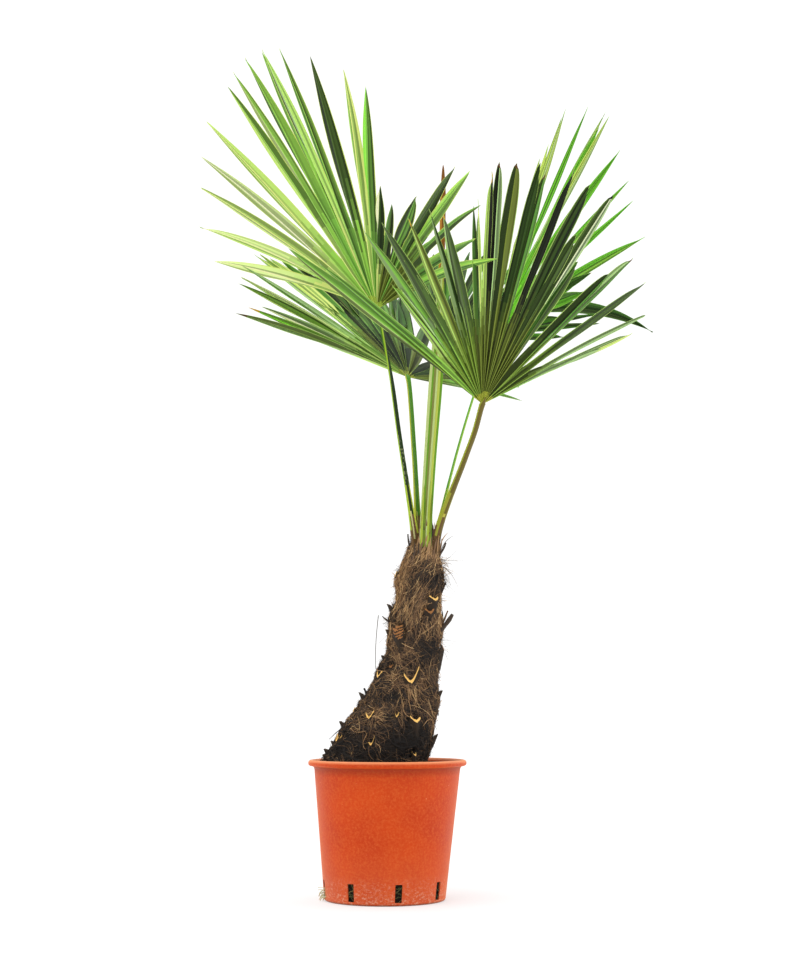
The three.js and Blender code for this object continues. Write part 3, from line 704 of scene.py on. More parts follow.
def add_leaf_sheet(shape, frond, i, upper, under, share, split, half, tones, rng):
    """The two sides of a leaflet and the thin rim between them."""
    rows, columns = upper.shape[:2]
    size = rows * columns
    sheet = grid_faces(rows, columns)
    row, column = np.arange(rows - 1), np.arange(columns - 1)
    left = stacked(row, row + 1) * columns
    near = stacked(column, column + 1)
    edges = np.concatenate([left, left[:, ::-1] + columns - 1, near[:, ::-1], near + (rows - 1) * columns])
    rim = np.concatenate([edges, edges[:, ::-1] + size], axis=1)
    face_row, face_column = np.divmod(np.arange(len(sheet)), columns - 1)
    places = stacked(COLUMNS * half[:, None], share[:, None] * TEXTURE_LENGTH)
    kinds = leaflet_kinds(frond, i, share, split, tones, rng)
    base = shape.count
    points = np.concatenate([upper.reshape(-1, 3), under.reshape(-1, 3)])
    shape.add(points, sheet, kinds[0][face_row, face_column], np.tile(places.reshape(-1, 2), (2, 1)))
    shape.link(sheet[:, ::-1] + size, kinds[1][face_row, face_column], base)
    # The rim between the two sides takes the edge colour, a painted highlight.
    shape.link(rim, tones.number(frond["edge"]), base)


def leaflet_kinds(frond, i, share, split, tones, rng):
    """Material numbers of a leaflet's faces, on its upper and its under side.

    Each half has its own tone in lengthwise strips of uneven shade. Towards the hub each strip turns
    in its own place into the inner tone, painted lighter on one half of each fold and darker on the
    other as painted light and shade, and then into the hub's. The edge strips beyond the split take a
    painted highlight.
    """
    pair = frond["tones"].split()[i]
    if frond["turn"][-1] < frond["turn"][0]:
        pair = pair[::-1]
    inner, tip = frond["inner"][i], frond["tips"].get(i)
    edge = frond["edge"] if i < frond["shaded"] else inner
    strips = len(COLUMNS) - 1
    shades = rng.choice(len(STREAKS), strips, p=STREAK_SHARES)
    if i < frond["calm"]:
        shades = np.clip(shades, DARKEST + 1, PALEST - 1)
    hub_ends = rng.uniform(0.01, 0.06, strips)
    inner_ends = rng.uniform(0.1, 0.2) + rng.uniform(0, 0.16, strips)
    share = share[:-1]
    found = np.zeros((2, len(share), strips), int)
    for face in (0, 1):
        far = face != (0 if frond["shown"] == "upper" else 1)
        for strip in range(strips):
            first_half = strip < strips / 2
            letter, shade = pair[0] if first_half else pair[1], int(shades[strip])
            if strip == strips // 2:
                letter, shade = pair[0], PALEST if face else DARKEST
            # Near the hub the first half of each fold is painted lighter and the second darker: painted
            # light and shade.
            pleat_painted_light = int(np.clip(shade + (1 if first_half else -1), DARKEST, PALEST))
            parts = np.round(3 * (1 - smooth(share, inner_ends[strip], inner_ends[strip] + 0.28)))
            column = found[face, :, strip]
            for part in (0, 1, 2, 3):
                mixed = tones.number(letter, pleat_painted_light if part == 3 else shade, inner, part, far)
                column[parts == part] = mixed
            column[share < hub_ends[strip]] = tones.number(frond["hub"], shade, far=far)
            # The outer strips past the split take the edge colour, a painted highlight along the margins.
            if strip in (0, strips - 1):
                column[share > split] = tones.number(edge, far=far)
            if tip:
                column[share > frond["dry"]] = tones.number(tip)
    return found


def make_blade(name, frond):
    """All the leaflets of a frond, in one piece."""
    frond["axes"] = blade_axes(frond)
    fan = leaflet_list(frond)
    notches = notch_list(frond, fan)
    tones = Tones()
    shape = Shape()
    for rank in range(len(fan)):
        add_leaflet(shape, frond, rank, fan, notches, tones)
    shape.build(f"frond_{name}", tones.materials(), [f"blade_{name}"], crease=28)


# ------------------------------------------------------------------------------------ stalks

# Section of a stalk in shares of its half width: across, and towards its upper side.
STALK_SECTION = np.array([
    [1, 0.05], [0.86, 0.3], [0.5, 0.24], [0, 0.12], [-0.5, 0.24], [-0.86, 0.3],
    [-1, 0.05], [-0.82, -0.3], [-0.45, -0.6], [0, -0.72], [0.45, -0.6], [0.82, -0.3],
])
STALK_STEPS = 150
STALK_FOOT = 45         # how far the clasping foot reaches down into the stem
STALK_END = 15          # how far the end runs out into the blade
UPPER, EDGE, UNDER, FOOT, STREAK, DRY, FLECK = range(7)

# 8-bit sRGB colours of each stalk's upper side, edges, under side, foot, pale streaks there, and dry
# lowest part. Stalk a has flecks too.
STALK_COLOURS = {
    "a": ((38, 58, 24), (168, 204, 54), (84, 136, 34), (176, 188, 58), (204, 202, 140), (112, 86, 54),
          (112, 120, 84)),
    "b": ((84, 144, 34), (190, 196, 60), (104, 160, 44), (150, 178, 66), (206, 204, 110), (112, 86, 54)),
    "c": ((104, 98, 38), (160, 170, 48), (112, 100, 44), (160, 162, 54), (196, 190, 84), (112, 86, 54)),
    "d": ((92, 170, 30), (160, 196, 50), (98, 170, 36), (204, 204, 62), (220, 216, 100), (112, 86, 54)),
    "e": ((40, 74, 22), (84, 124, 34), (48, 86, 26), (136, 150, 46), (170, 176, 70), (112, 86, 54)),
}


def stalk_path(frond):
    """Points along a stalk, from its foot inside the stem to its end in the blade."""
    start, hub = np.array(frond["stalk"][0]), np.array(frond["stalk"][-1])
    inward = np.array([STEM_CENTRE[0] - start[0], STEM_CENTRE[1] - start[1], 0.0]) * 0.3
    foot = start + inward - (0, 0, STALK_FOOT)
    end = hub + frond["axes"][0] * STALK_END
    return spline([foot, *frond["stalk"], end], STALK_STEPS)


def stalk_axes(frond, path, share):
    """Directions across a stalk and up from it, from the stem's middle round to the blade's own."""
    forward = unit(np.gradient(path, axis=0))
    outward = np.array([frond["stalk"][1][0] - STEM_CENTRE[0], frond["stalk"][1][1] - STEM_CENTRE[1], 0])
    up = unit(-unit(outward)[None] * (1 - share) + frond["axes"][2][None] * share)
    up = unit(up - forward * (up * forward).sum(-1, keepdims=True))
    roll = math.radians(frond["stalk_roll"]) * (1 - smooth(share, 0.6, 1))
    up = up * np.cos(roll) + np.cross(forward, up) * np.sin(roll)
    return np.cross(forward, up), up


def stalk_kinds(frond, travel, count):
    """Material numbers of a stalk's faces: by side, and flecked, pale or dry towards the foot."""
    row, place = np.divmod(np.arange(count), len(STALK_SECTION))
    at = travel[row]
    kinds = np.select([np.isin(place, [0, 5, 6, 11]), place < 5], [EDGE, UPPER], UNDER)
    low, high = frond["flecks"]
    flecked = np.random.default_rng(frond["seed"]).uniform(size=count) < 0.3
    kinds = np.where(flecked & (place < 5) & (at > low) & (at < high), FLECK, kinds)
    kinds = np.where(at < 80 + 55 * np.sin(place * 2.1), np.where(place % 3 == 0, STREAK, FOOT), kinds)
    return np.where(at < 52 + 24 * np.sin(place * 3.7), DRY, kinds)


def make_stalk(name, frond, colours):
    """A leaf stalk: channelled above, keeled below, with fine teeth along its two edges.

    Its foot widens and clasps the stem, and its end runs out into the blade as a short point.
    """
    path = stalk_path(frond)
    travel = distances(path)
    total = travel[-1]
    base, top = frond["half"]
    half = np.interp(travel, [0, 45, 90, 150, total - 30, total - STALK_END, total],
                     [9, 8.6, base + 1.8, base + 0.6, top, top * 1.1, 0.6])
    side, up = stalk_axes(frond, path, (travel / total)[:, None])
    teeth = 1 + 0.14 * np.maximum(0, np.sin(np.arange(STALK_STEPS) * 2.4)) * (travel > 90)
    section = np.repeat(STALK_SECTION[None], STALK_STEPS, 0) * half[:, None, None]
    section[:, [0, 6], 0] *= teeth[:, None]
    rings = path[:, None] + side[:, None] * section[..., :1] + up[:, None] * section[..., 1:]
    sides = len(STALK_SECTION)
    wall = grid_faces(STALK_STEPS, sides, closed=True)
    places = stacked(np.arange(sides) * 2.0, travel[:, None])
    shape = Shape()
    shape.add(rings, wall, stalk_kinds(frond, travel, len(wall)), places)
    shape.cap(STALK_STEPS, sides, turned=True)
    materials = [leaf_finish(f"stalk_{name}_{k}", colour, 0.4) for k, colour in enumerate(colours)]
    shape.build(f"stalk_{name}", materials, [f"petiole_{name}"], crease=50)


# Points up the middle of the unopened leaf.
SPEAR = np.array([
    [71, 0, 600], [72, 0, 641.3], [80, 5, 771], [91, 9, 918], [97, 12, 1021], [102, 15, 1151],
    [104.5, 18, 1261], [105, 20, 1321],
])

# Its folded leaflets, as ribbons: the heights where each one starts and ends, its offset to the right
# and to the back, half width, and colour.
SPEAR_RIBBONS = [
    (600, 1080, -7.8, -4.8, 3.4, 0), (600, 1110, -4.6, -5.2, 2.2, 2), (600, 1130, -1.8, -5.4, 2.6, 1),
    (600, 1150, 0.8, -5.8, 2.4, 0), (600, 1130, 2.8, -5.6, 1.8, 2), (600, 1120, 4.8, -5.4, 2.4, 3),
    (600, 1100, 7.8, -3.4, 3.0, 2), (600, 1140, -4.5, 2.5, 4.4, 1), (600, 1120, 1.0, 4.2, 4.6, 4),
    (600, 1090, 6.0, 2.5, 4.2, 4), (760, 1321, 0.5, 0.0, 7.2, 5), (840, 1285, -3.6, -1.6, 2.8, 6),
    (820, 1230, 3.6, 1.4, 2.6, 7), (800, 1160, -5.4, -1.0, 2.6, 2), (606, 724, -7.4, -6.6, 2.6, 8),
    (606, 700, -3.0, -7.2, 1.6, 9), (606, 732, 3.6, -7.2, 2.0, 8), (606, 708, 7.4, -5.8, 2.2, 9),
]
SPEAR_COLOURS = (
    (196, 212, 136), (136, 142, 72), (112, 164, 46), (190, 204, 84), (58, 100, 28), (140, 88, 34),
    (206, 138, 50), (96, 150, 40), (170, 190, 64), (120, 142, 44),
)


def make_spear():
    """The unopened leaf: leaflets pressed into one slim bundle that ends in dry brown tips."""
    steps = 80
    shape = Shape()
    centre = spline(SPEAR, 400)
    for k, (low, high, right, back, half, kind) in enumerate(SPEAR_RIBBONS):
        z = np.linspace(low, high, steps)
        path = path_at(centre, centre[:, 2], z)
        rise = (z - 641) / 680
        spread = 1 - 0.4 * smooth(rise, 0.3, 0.95) + 0.2 * np.exp(-((rise - 0.4) / 0.12) ** 2)
        path[:, 0] += right * spread
        forward = 15 * smooth(z, 672, 632) * smooth(z, 602, 618) if back < 0 else 0
        path[:, 1] += back * spread - forward
        ends = np.minimum(1, (high - z) / 60) ** 0.6
        width = half * (0.8 + 0.3 * np.exp(-((rise - 0.3) / 0.25) ** 2)) * (0.12 + 0.88 * ends)
        across = np.array([1.0, 0.45 * math.sin(1.7 * k), 0.0])
        add_tubes(shape, path[None], width[None], 10, kind, 0.4, across[None, None])
    materials = [leaf_finish(f"spear_{k}", colour, 0.42) for k, colour in enumerate(SPEAR_COLOURS)]
    shape.build("spear", materials, ["spear_leaf"], crease=40)


# ------------------------------------------------------------------------------------ stem

# Cut leaf bases that show: height of the top of the cut, bearing, width, how far its middle lies
# below (or above) its ends, how far it stands off the stem, how much lower its left (or right) end
# is as a share, and its colour. Near heights side by side make one broad scar.
OLD, PALE, BROWN, SIDE = range(4)
CUTS = [
    (525, -47, 24, 6, 1.5, -0.3, PALE), (401, -85, 27, 25, 1.5, 0.55, PALE), (393, -152, 18, 8, 3, 0, PALE),
    (325, -129, 18, 11, 1.5, 0.4, PALE), (316, -60, 21, 8, 1.5, -0.3, PALE), (323, -88, 7, 7, 1, 0.4, PALE),
    (283, -107, 12, 14, 1, 0.8, PALE), (285, -155, 16, 11, 8, -0.2, PALE), (282, -155, 11, 8, 9.5, 0, PALE),
    (331, -172, 13, 7, 6, 0, PALE), (404, -128, 8, 3, 1, 0, BROWN), (255, -47, 9, 6, 1, -0.3, PALE),
    (571, -172, 15, 9, 3, 0, PALE), (472, -128, 17, 2, 2, 0.2, BROWN), (467.5, -130, 23, 2, 3, -0.2, BROWN),
    (463, -128, 24, 3, 3.8, 0.2, BROWN), (458.5, -126, 20, 3, 4.6, 0.1, BROWN),
    (453, -122, 13, 2, 5.4, 0.3, BROWN), (503, -60, 20, 7, 2, 0.2, BROWN), (441, -6, 20, 8, 2, 0, BROWN),
    (257, -177, 18, -4, 5, 0, OLD), (246, -166, 14, -6, 2, 0, OLD), (303, -177, 20, -6, 4, 0, OLD),
    (270, 172, 12, -4, 3, 0, OLD), (353, -178, 20, -6, 5, 0, OLD), (340, 172, 9, -3, 1, 0, OLD),
    (507, -175, 15, -7, 4, 0, OLD), (466, 178, 9, -3, 2, 0, OLD), (420, -174, 10, -3, 2, 0, OLD),
    (358, -3, 12, -4, 2, 0, OLD), (281, -5, 13, -5, 3, 0, OLD), (549, -6, 11, -3, 2, 0, OLD),
    (240, -150, 16, -6, 2, 0, OLD),
]
HIDDEN_CUTS = 34        # places on the spiral of cuts, of which those on the far side are used
GOLDEN_ANGLE = 137.5
CUT_ARC, CUT_LEVELS = 13, 7     # points along a cut, and rings up its stub
STUB_LENGTH, SCALE_LENGTH = 46, 20
STUB_LEAN, SCALE_LEAN = 10, 22  # degrees from upright

FIBRES = {  # from the darkest to the palest
    "black": (46, 43, 41), "umber": (76, 64, 54), "brown": (124, 96, 71), "tan": (176, 138, 97),
    "straw": (228, 188, 134),
}

# Broken sticks that stand out: height, bearing, reach in X, Y and Z, radius, and colour by its place in
# FIBRES.
STICKS = [
    (462, -8, (25, -6, 31), 5.4, 1), (468, 0, (19, 2, 32), 2.2, 2), (472, -174, (-18, -2, 18), 1.5, 1),
    (500, -172, (-7, -2, 12), 1.6, 1), (350, -176, (-9, -2, 14), 2.6, 0), (562, -4, (9, -3, 7), 1.4, 3),
    (590, -8, (16, -4, 30), 2.4, 1), (594, 4, (12, 6, 34), 1.8, 2), (596, -20, (9, -8, 36), 1.5, 3),
    (606, 172, (-4, -6, 30), 2.0, 1),
]


def stem_at(z):
    """The stem's centre in X, half width and half depth at a height."""
    return [np.interp(z, STEM[:, 0], STEM[:, k]) for k in (1, 2, 3)]


def all_cuts():
    """The cuts that show, and a spiral of others on the far side."""
    cuts = list(CUTS)
    for k in range(HIDDEN_CUTS):
        z, bearing = 250 + 9.6 * k, (GOLDEN_ANGLE * k + 40) % 360
        if 12 < bearing < 168:
            kind = PALE if jitter(6, k) > -0.3 else OLD
            width, depth = 22 + 6 * jitter(3, k), 10 + 8 * jitter(4, k)
            cuts.append((z, bearing, width, depth, 1.5, 0.4 * jitter(5, k), kind))
    return cuts


def stem_relief(z, bearing, cuts):
    """How far the surface stands out from the plain stem: old leaf bases that overlap like scales.

    Round the face of each cut it is pressed in, so that no fibre covers the wood.
    """
    _, wide, deep = stem_at(z)
    rise = np.zeros(np.broadcast(z, bearing).shape)
    pressed = np.zeros(rise.shape)
    round_ = (wide + deep) / 2
    for top, at, width, depth, out, _, kind in cuts:
        arc = ((bearing - math.radians(at) + np.pi) % (2 * np.pi) - np.pi) * round_
        u = arc / (width * 0.5 + 12)
        v = (z - (top - 70)) / 62
        scale = smooth(v) * (v < 1) * np.clip(1 - u * u, 0, 1)
        rise = np.maximum(rise, scale * (3.5 + 0.3 * out))
        if kind != OLD:
            away = np.hypot(arc / (width * 0.5 + 3), (z - top + abs(depth) / 2) / (abs(depth) / 2 + 6))
            pressed = np.maximum(pressed, 1 - smooth(away, 0.75, 1.15))
    return rise * (1 - pressed) - 5 * pressed


def stem_point(z, bearing, rise):
    """A point on the stem, lifted by rise, from its height and bearing in radians."""
    x, wide, deep = stem_at(z)
    return stacked(x + (wide + rise) * np.cos(bearing), (deep + rise) * np.sin(bearing), z)


def make_stem_core(cuts, material):
    """The stem under its fibre, lumpy and scaled, with a slim end inside the sheaths."""
    rows, columns = 190, 150
    z = np.linspace(STEM_FOOT, STEM_TOP, rows)[:, None] * np.ones(columns)
    bearing = np.ones((rows, 1)) * np.linspace(0, 2 * np.pi, columns, endpoint=False)
    flat = stem_point(z, bearing, 0)
    lumps = 4.0 * noise(flat, 28, 5) + 2.6 * noise(flat * (1, 1, 0.5), 8, 9)
    rise = stem_relief(z, bearing, cuts) + lumps - 3.0
    fade = smooth(z, STEM_TOP, 600)
    points = stem_point(z, bearing, rise * (0.3 + 0.7 * fade) - 1)
    shape = Shape()
    shape.add(points, grid_faces(rows, columns, closed=True), 0)
    shape.cap(rows, columns)
    shape.build("stem_core", [material], ["trunk"], crease=60)


def cut_ring(width, depth, skew, rng):
    """Across, outwards and downwards places round the top of a stub: its outer side, then its inner."""
    t = np.linspace(-1, 1, CUT_ARC)
    curve = 1 - abs(t) ** 1.4
    bow = (3.0 + 0.14 * width) * curve
    thick = (1.2 + 0.09 * width) * (1 - 0.6 * t**2) * (1 + 0.1 * rng.normal(size=CUT_ARC))
    fall = depth * curve + abs(depth * skew) * np.maximum(0, -t * np.sign(skew or 1))
    face = 1.3 * thick * (depth > 0)
    outer = stacked(t * width / 2, bow + thick * 0.5, fall + face * 0.5)
    inner = stacked(t * width / 2 * 0.94, bow - thick * 0.5, fall - face * 0.5)[::-1]
    return np.concatenate([outer, inner])


def add_cut(shape, cut, rng):
    """The stub of one leaf stalk: a keeled crescent against the stem, with a sloping cut on top.

    The keel of the cut is lower than its two ends, so the wood shows as a V from outside. Where the
    keel is higher, the stub is an old pointed scale.
    """
    top, at, width, depth, out, skew, kind = cut
    scale = depth < 0
    length = SCALE_LENGTH if scale else STUB_LENGTH
    lean = math.radians(SCALE_LEAN if scale else STUB_LEAN + rng.normal(0, 3))
    bearing = math.radians(at)
    _, wide, deep = stem_at(top)
    outward = unit(np.array([deep * math.cos(bearing), wide * math.sin(bearing), 0.0]))
    side = np.array([-outward[1], outward[0], 0.0])
    upward = outward * math.sin(lean) + np.array([0, 0, math.cos(lean)])
    away = np.cross(side, upward)
    away = away * np.sign(away @ outward)
    foot = stem_point(top, bearing, out) - upward * length
    ring = cut_ring(width, depth, skew, rng)
    rings = []
    for level in np.linspace(0, 1, CUT_LEVELS):
        drop = ring[:, 2] * smooth(level, 0.3, 1) + rng.normal(0, 0.5, len(ring)) * (level == 1)
        rings.append(foot + side * (ring[:, :1] * (1.25 - 0.25 * level)) + away * ring[:, 1:2]
                     + upward * (length * level - drop)[:, None])
    wall = grid_faces(CUT_LEVELS, len(ring), closed=True)
    last = (CUT_LEVELS - 1) * len(ring) + np.arange(len(ring))
    a, b = last[:CUT_ARC], last[CUT_ARC:][::-1]
    face = stacked(a[:-1], a[1:], b[1:], b[:-1])
    back = (face - last[0])[:, ::-1]
    if np.cross(side, away) @ upward <= 0:
        wall, face, back = wall[:, ::-1], face[:, ::-1], back[:, ::-1]
    start = shape.count
    shape.add(rings, wall, SIDE)
    shape.link(face, kind, start)
    shape.link(back, SIDE, start)


def make_cuts(cuts, materials):
    """The stubs and scales that are left of old leaf stalks."""
    shape = Shape()
    for k, cut in enumerate(cuts):
        add_cut(shape, cut, np.random.default_rng([41, k]))
    shape.build("leaf_bases", materials, crease=40)


def make_sticks(materials):
    """Broken ends of old leaf stalks that stand out from the stem."""
    shape = Shape()
    steps = 8
    s = np.linspace(0, 1, steps)
    for k, (z, at, reach, radius, kind) in enumerate(STICKS):
        start = stem_point(z, math.radians(at), -6)
        sway = 0.06 * stacked(np.sin(3 * s + k), np.cos(2 * s + k) - 1, 0)
        path = start + s[:, None] * np.array(reach, float) + sway * np.linalg.norm(reach)
        width = radius * (1 - 0.35 * s) * (1 + 0.12 * np.sin(s * 11 + k))
        add_tubes(shape, path[None], width[None], 7, kind, 0.95)
    shape.build("broken_stalks", materials, crease=50)


# Height, and there: the lean of the fibres from upright in degrees, and how pale they are, by the
# place of their colour in FIBRES. The fibre darkens towards the foot, partly in its own colour and
# partly as painted shade low on the stem.
FIBRE_HABIT = np.array([
    [230, -50, 0.7], [300, -52, 1.15], [380, -46, 1.3], [440, -30, 1.6], [480, -16, 2.1],
    [520, 6, 2.7], [560, 4, 2.35], [600, 0, 2.0], [650, 0, 2.4],
])

# Dark patches in the fibre: height, bearing, and radius.
DARK_PATCHES = [
    (544, -62, 20), (556, -30, 15), (575, -100, 8), (431, -76, 28), (438, -35, 22), (489, -160, 16),
    (395, -150, 18), (300, -52, 30), (262, -60, 26), (268, -150, 24), (345, -95, 14), (245, -100, 22),
]
FIBRE_BANDS = ((227, 330), (320, 430), (420, 540), (530, STEM_TOP))     # heights, a piece for each
FIBRE_SORTS = ((3000, 30, 1.7, 0.36), (240, 48, 2.8, 0.62))    # how many in a band, length, lift, radius
FIBRE_TAPER = np.array([0.5, 0.9, 1, 1, 1, 0.8, 0.3])
CROSSING_SHARE = 0.22   # of the fibres that lie across the others


def add_fibres(shape, rng, cuts, count, span, length, lift, radius):
    """Fibres matted on the stem. Near ones share a lean and a colour, so they lie in tufts."""
    z0 = rng.uniform(*span, count)
    bearing0 = rng.uniform(0, 2 * np.pi, count)
    place = stem_point(z0, bearing0, 0)
    lean = np.interp(z0, FIBRE_HABIT[:, 0], FIBRE_HABIT[:, 1])
    crossing = rng.uniform(size=count) < CROSSING_SHARE
    lean = np.where(crossing, -lean + 20, lean)
    angle = np.radians(lean + 56 * noise(place, 34, 21) + rng.normal(0, 15, count))
    reach = length * rng.uniform(0.5, 1.5, count)
    curl = rng.normal(0, 0.6, count)
    s = np.linspace(-0.5, 0.5, len(FIBRE_TAPER))[None]
    turn = angle[:, None] + curl[:, None] * s
    _, wide, deep = stem_at(z0)
    round_ = ((wide + deep) / 2)[:, None]
    z = np.clip(z0[:, None] + reach[:, None] * s * np.cos(turn), FIBRE_BANDS[0][0], STEM_TOP + 6)
    bearing = bearing0[:, None] + reach[:, None] * s * np.sin(turn) / round_
    rise = stem_relief(z, bearing, cuts)
    away = np.abs(rng.normal(0, 1, count))[:, None] * lift * (0.35 + (2 * s) ** 2)
    paths = stem_point(z, bearing, rise - 1.8 + away)
    kinds = fibre_kinds(place, rng)
    radii = radius * rng.uniform(0.6, 1.5, (count, 1)) * FIBRE_TAPER
    add_tubes(shape, paths, radii, 3, kinds)


def fibre_kinds(place, rng):
    """Material numbers of fibres by their places: paler by height and in tufts, darker in patches."""
    pale = np.interp(place[:, 2], FIBRE_HABIT[:, 0], FIBRE_HABIT[:, 2]) + 0.12
    pale = pale + 1.7 * noise(place, 14, 27) + 0.9 * noise(place, 55, 28, 1)
    pale = pale + rng.normal(0, 1.1, len(place))
    for height, at, size in DARK_PATCHES:
        distance = np.linalg.norm(place - stem_point(height, math.radians(at), 0), axis=-1)
        pale = pale - 2.0 * np.exp(-(distance / size) ** 2)
    return np.clip(np.round(pale), 0, len(FIBRES) - 1).astype(int)


def make_fibres(cuts, materials):
    """The matted fibre of the stem, in bands of height so that no piece grows too large."""
    rng = np.random.default_rng(11)
    for part, span in enumerate(FIBRE_BANDS):
        shape = Shape()
        for count, length, lift, radius in FIBRE_SORTS:
            add_fibres(shape, rng, cuts, count, span, length, lift, radius)
        shape.build(f"fibre_mat_{part}", materials, crease=60)


# Tufts of loose hair: height, bearing, spread in height, how many, and length. The first is thin and
# goes all round.
TUFTS = [
    (440, 0, 400, 620, 11),
    (585, -5, 16, 40, 28), (568, -15, 12, 30, 24), (572, -178, 10, 30, 18), (480, 178, 14, 26, 22),
    (552, -2, 16, 40, 16), (520, 0, 20, 20, 14), (505, -176, 16, 30, 16), (540, 180, 20, 26, 12),
    (462, 175, 10, 12, 16), (492, -4, 10, 14, 18), (446, -6, 12, 20, 22), (430, -2, 8, 10, 24),
    (275, -6, 10, 8, 14), (556, -10, 10, 18, 22), (250, -170, 14, 10, 10), (520, 176, 12, 12, 14),
    (470, 90, 30, 22, 18), (560, 80, 30, 26, 20), (380, 100, 30, 12, 14),
]


def make_hairs(cuts, materials):
    """Loose hairs that stand off the stem and curl over, here and there and in tufts."""
    rng = np.random.default_rng(23)
    steps = 10
    z0 = np.concatenate([z + rng.uniform(-0.5, 0.5, n) * spread for z, _, spread, n, _ in TUFTS])
    turn = [rng.uniform(0, 360, n) if k == 0 else at + rng.normal(0, 16, n)
            for k, (_, at, _, n, _) in enumerate(TUFTS)]
    length = np.concatenate([size * rng.uniform(0.5, 1.4, n) for *_, n, size in TUFTS])
    bearing = np.radians(np.concatenate(turn))
    count = len(z0)
    start = stem_point(z0, bearing, stem_relief(z0, bearing, cuts) - 2)
    outward = unit(polar(1, bearing, rng.normal(0.3, 0.55, count)))
    sideways = unit(rng.normal(size=(count, 3)))
    s = np.linspace(0, 1, steps)[None, :, None]
    size = length[:, None, None]
    bow = rng.normal(0, 0.6, (count, 1, 1))
    drop = rng.uniform(0, 0.6, (count, 1, 1)) * np.array([0, 0, 1.0])
    paths = start[:, None] + outward[:, None] * size * s * (1 - 0.4 * s) + size * s**2 * (
        bow * sideways[:, None] - drop)
    wave = np.sin(s * 8 + rng.uniform(0, 6, (count, 1, 1)))
    paths = paths + wave * sideways[:, None] * size * 0.04
    paths[..., 2] = np.maximum(paths[..., 2], SOIL_TOP + 3)
    radii = rng.uniform(0.18, 0.42, (count, 1)) * np.linspace(1, 0.4, steps)
    shape = Shape()
    add_tubes(shape, paths, radii, 3, rng.choice(len(FIBRES), count, p=(0.3, 0.25, 0.2, 0.15, 0.1)))
    hang = np.linspace(0, 1, steps)
    strand = stacked(-12 - 5 * np.sin(hang * 2), -4, 492 - 94 * hang)
    add_tubes(shape, strand[None], 0.75 - 0.15 * hang[None], 3, 1)
    shape.build("stem_hairs", materials, crease=60)


# Strips of torn sheath that stand out: bearing, height, length, half width, curl outwards, and colour
# by its place in FIBRES.
TORN = [
    (-12, 600, 46, 5.4, 14, 3), (-4, 594, 48, 4.4, 18, 1), (-30, 600, 36, 2.8, 8, 1),
    (-172, 606, 44, 2.6, 2, 1), (-150, 606, 36, 2.6, 1, 3), (-100, 596, 34, 2.8, 2, 2),
    (-70, 594, 36, 2.6, 2, 3), (-50, 592, 38, 3.0, 4, 2), (10, 590, 44, 3.0, 12, 1),
    (-95, 612, 44, 1.7, 8, 1), (-76, 610, 36, 1.5, 9, 2), (-112, 612, 56, 1.6, 6, 2),
    (-62, 611, 38, 1.7, 9, 1), (-86, 606, 32, 2.2, 11, 3), (-104, 606, 28, 1.8, 10, 3),
    (-2, 548, 26, 1.4, 12, 3), (-178, 548, 26, 3.4, 9, 3), (176, 552, 22, 2.6, 11, 4),
    (178, 472, 24, 3.0, 12, 1), (-8, 545, 26, 2.4, 10, 2),
]


def make_sheaths(materials):
    """Dry sheaths round the feet of the leaf stalks: torn strips that stand up and curl outwards."""
    rng = np.random.default_rng(31)
    count, steps = 150, 12
    torn = np.array(TORN, float).T
    bearing = np.concatenate([np.radians(torn[0]), rng.uniform(0, 2 * np.pi, count)])[:, None]
    z0 = np.concatenate([torn[1], rng.uniform(578, 626, count)])[:, None]
    length = np.concatenate([torn[2], rng.uniform(14, 46, count)])[:, None]
    half = np.concatenate([torn[3], rng.uniform(0.7, 2.4, count)])[:, None]
    curl = np.concatenate([torn[4], rng.uniform(0, 1, count) ** 4 * 8])[:, None]
    kinds = np.concatenate([torn[5], rng.choice(len(FIBRES), count, p=(0.08, 0.22, 0.34, 0.24, 0.12))])
    s = np.linspace(0, 1, steps)[None]
    z = z0 + length * s
    _, wide, deep = stem_at(z0)
    x = stem_at(z)[0]
    shrink = 1 - 0.2 * s * (z0 > 575)
    bow = curl * s**2 * 1.4
    wobble = rng.normal(0, 0.07, (len(z0), 1)) * s
    paths = stacked(x + (wide * shrink + bow) * np.cos(bearing + wobble),
                    (deep * shrink + bow) * np.sin(bearing + wobble), z - bow * 0.35 * s)
    width = half * (1 - 0.8 * s**2) * (0.75 + 0.25 * np.cos(s * 9))
    across = stacked(-np.sin(bearing), np.cos(bearing), 0)
    shape = Shape()
    add_tubes(shape, paths, width, 6, kinds.astype(int), 0.2, across)
    shape.build("sheath_strips", materials, crease=50)


# ------------------------------------------------------------------------------------ pot and soil

# The pot's profile: its foot from the middle out, its rim in steps from the rim's radius and the pot's
# height, the lip inside, and the floor back to the middle.
FOOT_PROFILE = [(0, 0), (60, 0), (100, 0), (102.6, 0.35), (104.3, 1.5), (105.1, 3.0)]
RIM_PROFILE = [
    (-10.1, -13.4), (-8.9, -11.8), (-6.5, -11.0), (-2.9, -10.2), (-0.8, -8.8), (0, -6.6),
    (-0.1, -4.0), (-1.1, -1.8), (-3.1, -0.4), (-5.7, 0), (-8.1, -0.6), (-9.9, -2.4),
]
LIP_PROFILE = [(127.0, 234), (126.0, 229)]
FLOOR_PROFILE = [(60, 3), (0, 3)]
SLOT_ROWS, SLOT_COLUMNS = 6, 4  # points up the side of a slot, and across it
WALL_COLUMNS = 22               # points between two slots


def leaned(points):
    """Points moved sideways with their height, as the whole pot leans a little."""
    points = np.array(points, float)
    points[..., 0] += POT["lean"] * points[..., 2]
    return points


def pot_radius(z):
    """The outer radius of the wall at a height."""
    return POT["foot"] + (POT["top"] - POT["foot"]) * np.asarray(z) / POT["under_rim"]


